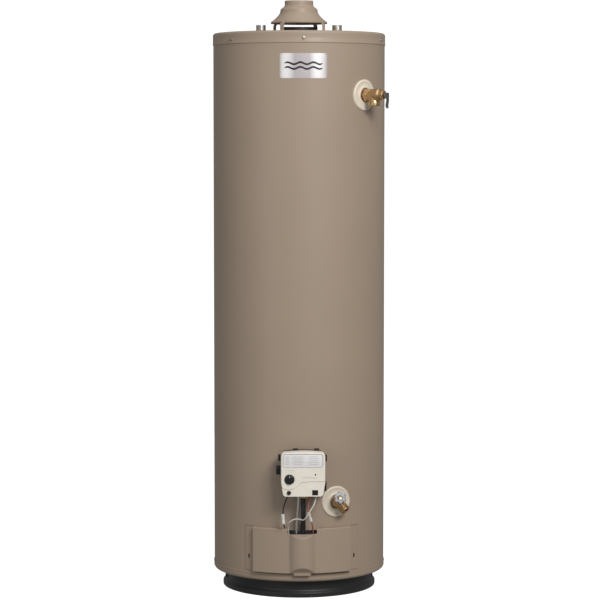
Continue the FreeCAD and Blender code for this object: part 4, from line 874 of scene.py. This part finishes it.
DRAIN = outward(23, 256.5, 28)
DRAIN_BODY = 245.0
DRAIN_STEM = DRAIN @ place_of(0, 0, DRAIN_BODY, tip=-35)
DRAIN_SPOUT = DRAIN @ place_of(0, 0, DRAIN_BODY, tip=50)


def ball_outline(radius, steps=12):
    return [(radius * math.sin(math.pi * k / steps), -radius * math.cos(math.pi * k / steps))
            for k in range(steps + 1)]


def make_drain_valve():
    shape = Shape()
    shape.turned([(0, 196), (12.3, 196), (13.2, 199), (13.2, 234), (11.5, 235), (11.5, 236.6), (0, 236.6)],
                 DRAIN, 32)
    shape.prism(hexagon(27), 232.5, 238.4, DRAIN, 0.9, both=True)
    shape.turned(ball_outline(14.5), DRAIN @ place_of(0, 0, DRAIN_BODY), 48)
    shape.turned(filleted([(0, 8), (10.6, 8), (10.6, 13, 0.8), (9, 14.2), (0, 14.2)], False), DRAIN_STEM, 48)
    shape.prism(hexagon(17.5), 13.8, 20.4, DRAIN_STEM, 0.8, both=True)
    shape.turned(filleted([(0, 19), (5.4, 19), (5.4, 21.6, 0.7), (3.3, 22.4, 0.4), (3.3, 20), (0, 20)],
                          False), DRAIN_STEM, 32)
    shape.turned(filleted([(0, 7), (11.2, 7), (11.2, 11.6, 1.4), (13.1, 13.2, 0.6), (13.1, 14.8),
                           (12.2, 14.8), (0, 14.8)], False), DRAIN_SPOUT, 48)
    shape.thread(13.3, 14.4, 30, 2.2, 0.85, DRAIN_SPOUT, 64, 8.3)
    shape.turned([(8.3, 8), (9.4, 8), (9.4, 15), (8.3, 15)], DRAIN_SPOUT, 48, closed=True)
    piece(shape.object("drain_valve_casting"), "brass", "drain_valve_body", finish="cast_brass")

    stem = filleted([(0, 19), (2.95, 19), (2.95, 32, 0.6), (0, 33)], False)
    piece(Shape().turned(stem, DRAIN_STEM, 24).object("drain_stem_rod"), "brass", "drain_stem",
          "drain_spindle")
    make_drain_handle()


def make_drain_handle():
    """A cast six-lobed wheel with a hub, a dished web and a rounded rim."""
    place = DRAIN_STEM @ place_of(0, 0, 26)
    sides, lobes = 120, 6

    def lobe(turn):
        return 0.5 + 0.5 * math.cos(lobes * turn)

    levels = [(3.0, 0.0, 0), (5.9, 0.0, 0), (6.4, 0.5, 0), (7.4, 1.5, 0), (13.2, 1.7, 0.5), (15.6, 2.0, 1),
              (16.7, 2.7, 1), (17.0, 3.6, 1), (16.7, 4.6, 1), (15.6, 5.5, 1), (13.4, 5.5, 0.5),
              (8.2, 4.6, 0), (6.6, 5.0, 0), (6.0, 6.2, 0), (5.4, 6.5, 0), (3.0, 6.5, 0)]
    rings = []
    for r, z, share in levels:
        ring = []
        for i in range(sides):
            turn = 2 * math.pi * i / sides
            reach = r - share * 3.4 * (1 - lobe(turn)) ** 1.6
            ring.append(place @ Vector((reach * math.cos(turn), reach * math.sin(turn), z)))
        rings.append(ring)
    wheel = Shape().hoop(rings).object("drain_handle_wheel", angle=40)
    piece(wheel, "zinc", "drain_handle", "drain_spindle")
    nut = Shape().turned(filleted([(0, 6), (4.4, 6), (4.4, 7.0, 0.3), (0, 7.2)], False), place, 24)
    nut.turned(filleted([(0, 6.9), (3.2, 6.9), (3.2, 8.2, 0.8), (0, 8.7)], False), place, 24)
    piece(nut.object("drain_handle_screw"), "brass", body="drain_spindle")


# ---- gas control -------------------------------------------------------------------------------------------

CONTROL = front_frame(0, 285)
FACE = 309.2
KNOB_AT = (-35.4, 44.7)
IGNITER_AT = (-36.7, 10)


def control_outline():
    w = 56.8
    crown = [(x, 112.2 + 2.6 * (1 - (x / 46.8) ** 2)) for x in (36, 24, 12, 0, -12, -24, -36)]
    return filleted([(-51, 0, 9), (51, 0, 9), (w, 36, 40), (w, 112, 10), *crown, (-w, 112, 10),
                     (-w, 36, 40)], True, 8)


def bore_through(radius, at, sides):
    """A cutter for a round hole through the control's face."""
    return Shape().turned([(0, 290), (radius, 290), (radius, 320), (0, 320)], CONTROL @ place_of(*at), sides)


def make_gas_control():
    outline = control_outline()
    cover = Shape().prism(outline, 271, FACE, CONTROL, 2.6, 5).object("gas_control_case")
    crease = [(66, 39.3), (14, 39.3, 6), (-8.6, 36, 10), (-12.8, 29.6, 12), (-23, 20.6, 24), (-42, 18.4, 24),
              (-66, 27)]
    lower = filleted([(-66, -6), (66, -6), *crease], True, 6)
    upper_line = filleted(crease, False, 6)
    groove = upper_line + [Vector((p.x, p.y - 1.3)) for p in upper_line[::-1]]
    hollow = inset(outline, 2.5)
    cuts = [Shape().prism(hollow, 260, FACE - 4.5, CONTROL),
            Shape().prism(lower, FACE - 1.4, FACE + 4, CONTROL),
            Shape().prism(groove, FACE - 2.9, FACE + 4, CONTROL),
            Shape().prism(rounded_box(103.6, 35.6, 7, -0.6, 92.6), FACE - 1.5, FACE + 4, CONTROL),
            bore_through(13.2, KNOB_AT, 64),
            bore_through(5.4, IGNITER_AT, 40),
            bore_through(2.3, (31.5, 57), 32),
            Shape().prism(rounded_box(15.4, 14, 0.8, 30.7, 9.9), 270, 320, CONTROL),
            Shape().prism(rounded_box(30, 9, 1, 28, -1.5), 268, 300, CONTROL)]
    cover = carved(cover, *cuts)
    piece(softened(cover, 0.45, 2, 35), "cream_plastic", "gas_control_cover", finish="case")
    make_control_face()
    make_control_label()
    make_knob()
    make_control_parts()


def make_control_face():
    """The raised ring round the knob, its tick marks and plain print marks."""
    section = filleted([(13.3, 306), (16.6, 306), (16.6, 309.0, 0.9), (13.3, 309.4, 0.5)], True, 4)
    ring = Shape().turned(section, CONTROL @ place_of(*KNOB_AT), 72, closed=True)
    piece(ring.object("knob_surround"), "cream_plastic", finish="case")
    ticks = Shape()
    for k in range(13):
        turn = -135 + 22.5 * k
        long = 2.6 if k % 3 == 0 else 1.6
        top = FACE - 1.45 if 60 < abs(turn) else FACE + 0.06
        ticks.prism(rounded_box(0.7, long, 0.2, 0, 18.6 + long / 2), FACE - 1.8, top,
                    CONTROL @ place_of(*KNOB_AT, turn=-turn))
    for k in range(9):
        ticks.prism(rounded_box(2.6, 0.9, 0.2, 1 + 4.2 * k, 50.4), FACE - 0.3, FACE + 0.06, CONTROL)
        if k < 7:
            ticks.prism(rounded_box(2.4, 0.7, 0.2, 3 + 4.2 * k, 47.6), FACE - 0.3, FACE + 0.06, CONTROL)
    for k in range(6):
        ticks.prism(rounded_box(2.8, 0.7, 0.2, -46.5 + 4.0 * k, 68.2), FACE - 0.3, FACE + 0.06, CONTROL)
    for k in range(3):
        ticks.prism(rounded_box(1.4, 0.7, 0.2, 29.5 + 2.2 * k, 47.4), FACE - 0.3, FACE + 0.06, CONTROL)
    piece(ticks.object("control_print"), "cream_plastic", finish="print")


def make_control_label():
    label = Shape().prism(rounded_box(100.7, 32.8, 5.5, -0.6, 92.4), FACE - 1.55, FACE - 1.15, CONTROL, 0.1)
    piece(label.object("control_label_film"), "label_film", "control_label")
    # A dark ring fills the gap between the label and its recess: painted shade along the recess's edge.
    outer, inner = rounded_box(103.5, 35.5, 7, -0.6, 92.6), rounded_box(100.9, 33, 5.6, -0.6, 92.4)
    rings = [[CONTROL @ Vector((p.x, p.y, z)) for p in outline] for outline, z in
             ((outer, FACE - 1.6), (outer, FACE - 0.9), (inner, FACE - 1.1), (inner, FACE - 1.6))]
    rim = Shape().hoop(rings)
    piece(rim.object("control_label_painted_shade_rim"), "label_film", finish="print")
    marks = Shape()
    widths = (26, 30, 22, 28, 24)
    for k in range(5):
        marks.prism(rounded_box(9, 0.8, 0.3, -41, 103 - 5 * k), FACE - 1.2, FACE - 1.1, CONTROL)
        marks.prism(rounded_box(widths[k], 0.8, 0.3, -14, 103 - 5 * k), FACE - 1.2, FACE - 1.1, CONTROL)
        marks.prism(rounded_box(widths[4 - k], 0.8, 0.3, 27, 103 - 5 * k), FACE - 1.2, FACE - 1.1, CONTROL)
    piece(marks.object("control_label_lines"), "label_film", finish="print")


def make_knob():
    place = CONTROL @ place_of(*KNOB_AT, FACE - 2.6)
    shape = Shape()
    sides, rings = 96, []
    levels = [(3.2, 0, 0), (11.6, 0, 0), (12.0, 0.4, 1), (11.9, 5.6, 1), (11.5, 7.2, 1), (10.6, 8.3, 0),
              (9.4, 8.8, 0), (3.2, 9.0, 0), (0, 9.0, 0)]
    for r, z, ribbed in levels:
        ring = []
        for i in range(sides if r else 1):
            turn = 2 * math.pi * i / sides
            reach = r - (0.22 * (0.5 + 0.5 * math.cos(24 * turn)) if ribbed else 0)
            ring.append(place @ Vector((reach * math.cos(turn), reach * math.sin(turn), z)))
        rings.append(ring)
    shape.loops(rings)
    grip = filleted([(-2.6, -10.2, 1.8), (2.6, -10.2, 1.8), (1.9, 10.4, 1.4), (-1.9, 10.4, 1.4)], True, 4)
    shape.prism(grip, 8.2, 11.2, place, 0.9, 4)
    piece(shape.object("temperature_knob"), "black_plastic", "control_knob", "knob")
    pointer = Shape().prism(rounded_box(1.1, 4.6, 0.4, 0, 7.4), 11.0, 11.32, place)
    piece(pointer.object("knob_pointer"), "black_plastic", body="knob", finish="pointer")


def make_control_parts():
    button = filleted([(0, 296), (4.6, 296), (4.6, 301), (4.9, 303), (4.9, 312.2, 0.8), (3.6, 313),
                       (0, 312.3)], False, 4)
    shape = Shape().turned(button, CONTROL @ place_of(*IGNITER_AT), 40)
    piece(shape.object("igniter_button_cap"), "black_plastic", "igniter_button", "igniter")
    shape = Shape().turned(filleted([(0, 304), (2.1, 304), (2.1, 309.4, 0.6), (0, 310)], False, 4),
                           CONTROL @ place_of(31.5, 57), 32)
    piece(shape.object("status_light_lens"), "lens", "status_light")
    plug = Shape().prism(rounded_box(14.4, 13, 1, 30.7, 10), 286, 306, CONTROL, 0.6)
    plug.prism(rounded_box(6, 4, 0.6, 30.7, 13), 305, 307, CONTROL, 0.5)
    for x in (-4, 4):
        plug.prism(rounded_box(2.6, 3.4, 0.3, 30.7 + x, 6), 305, 306.6, CONTROL, 0.3)
    piece(plug.object("thermopile_connector"), "black_plastic", "thermopile_plug")


# ---- access door -------------------------------------------------------------------------------------------

DOOR_FACE = 242.6


def soft_max(a, b, width):
    gap = max(0.0, width - abs(a - b)) / width
    return max(a, b) + gap * gap * width / 4


def soft_min(a, b, width):
    return -soft_max(-a, -b, width)


def door_radius(angle, z):
    """The pressed door's outer face: a flat-rolled panel with side flanges and a channel down its middle."""
    side = min(1.0, max(0.0, (abs(angle) - 31.9) / 1.3))
    side = side * side * (3 - 2 * side)
    panel = DOOR_FACE + (BODY + 1.0 - DOOR_FACE) * side
    a = math.radians(angle)
    off = 216 * math.sin(a)
    if abs(off) >= 41:
        return panel
    channel = 216 * math.cos(a) + math.sqrt(41 * 41 - off * off)
    slope = 1 / math.tan(math.radians(43))
    for over in (z - 166, 88 - z):
        face = 257 - over * slope
        channel = soft_min(channel, face / math.cos(a), 1.6)
    return soft_max(panel, channel, 3.0)


def make_door():
    angles = marked(-40, 40, 0.5, -36.4, 36.4, -37.6, 37.6, -9.1, 9.1, -5.2, 5.2, -13.5, 13.5, -32.4, 32.4)
    heights = marked(66, 186.8, 1.6, 72, 103.4, 114.2, 176)
    rows = [[polar(door_radius(a, z), a, z) for a in angles] for z in heights]
    ledge = [(0.25, 188.4), (0.9, 189.4), (2.0, 189.95), (4.5, 190), (8, 190), (13.2, 190)]
    for drop, z in ledge:
        row = []
        for a in angles:
            r = door_radius(a, min(z, 189))
            row.append(polar(max(BODY + 0.6, r - drop) if r > BODY + 1.2 else r, a, z))
        rows.append(row)
    heights += [z for _, z in ledge]

    def kept(i, k):
        a, z = abs(angles[i] + angles[i + 1]) / 2, (heights[k] + heights[k + 1]) / 2
        if z < 72:
            return a < 5.2
        if a < 9.1 and z > 176:
            return False
        if a < 13.5 and k >= len(heights) - 4:
            return False
        return not (36.4 < a < 37.6 and 103.4 < z < 114.2)

    door = Shape().grid(rows, kept).object("door_panel", closed=False, angle=50)
    piece(sheet_metal(door, 1.0), "taupe_paint", "access_door", "door")
    # Dark plates behind the slots in the door's flanges: painted shadow inside the slots.
    slot_shadows = Shape()
    for side in (-1, 1):
        plate = [(side * 36.1, 102.6), (side * 37.9, 102.6), (side * 37.9, 115), (side * 36.1, 115)]
        slot_shadows.loops([[polar(r, a, z) for a, z in plate[::side]] for r in (BODY + 0.05, BODY + 0.35)])
    piece(slot_shadows.object("door_slot_painted_shadows"), "taupe_paint", finish="soot")
    dimple = Shape().turned(filleted([(0, -0.5), (2.4, -0.5), (2.4, 0.5, 0.4), (1.2, 1.2, 0.5), (0, 0.7)],
                                     False, 4), outward(35.6, 139) @ place_of(0, 0, BODY + 1), 24)
    piece(dimple.object("door_flange_screw"), "taupe_paint", body="door")


# ---- the rest ----------------------------------------------------------------------------------------------

def finish_carried_parts():
    """Every CAD part that still shows gets its own finish."""
    slots = {part["node"]: part["material_slot"] for part in frame["record"]["subparts"]}
    dark = {"flue_tube", "flue_baffle", "burner", "burner_venturi", "pilot_assembly", "flame_arrestor",
            "chamber_floor"}
    for node, made in frame["nodes"].items():
        made.data.materials.clear()
        made.data.materials.append(FINISHES["soot" if node in dark else slots[node]])


make_world(1.35, 0.30)
make_floor()
area_light("key", (1.6, -4.3, 3.3), (0, 0, 0.7), (1.8, 1.8), 165)
area_light("fill", (-2.4, -3.0, 1.2), (0, 0, 0.6), (1.5, 2.2), 14)
area_light("top", (0.2, -0.3, 3.4), (0, 0, 0), (2.0, 2.0), 14)
bpy.context.scene.view_settings.view_transform = "Standard"

make_leads()
make_casing()
make_screws()
make_hood()
make_nipples()
make_name_plate()
make_cover_ring("relief_ring_cover", 46, 1315.6, "relief_ring")
make_cover_ring("drain_ring_cover", 23, 256.5, "drain_ring")
make_relief_valve()
make_drain_valve()
make_gas_control()
make_door()
finish_carried_parts()
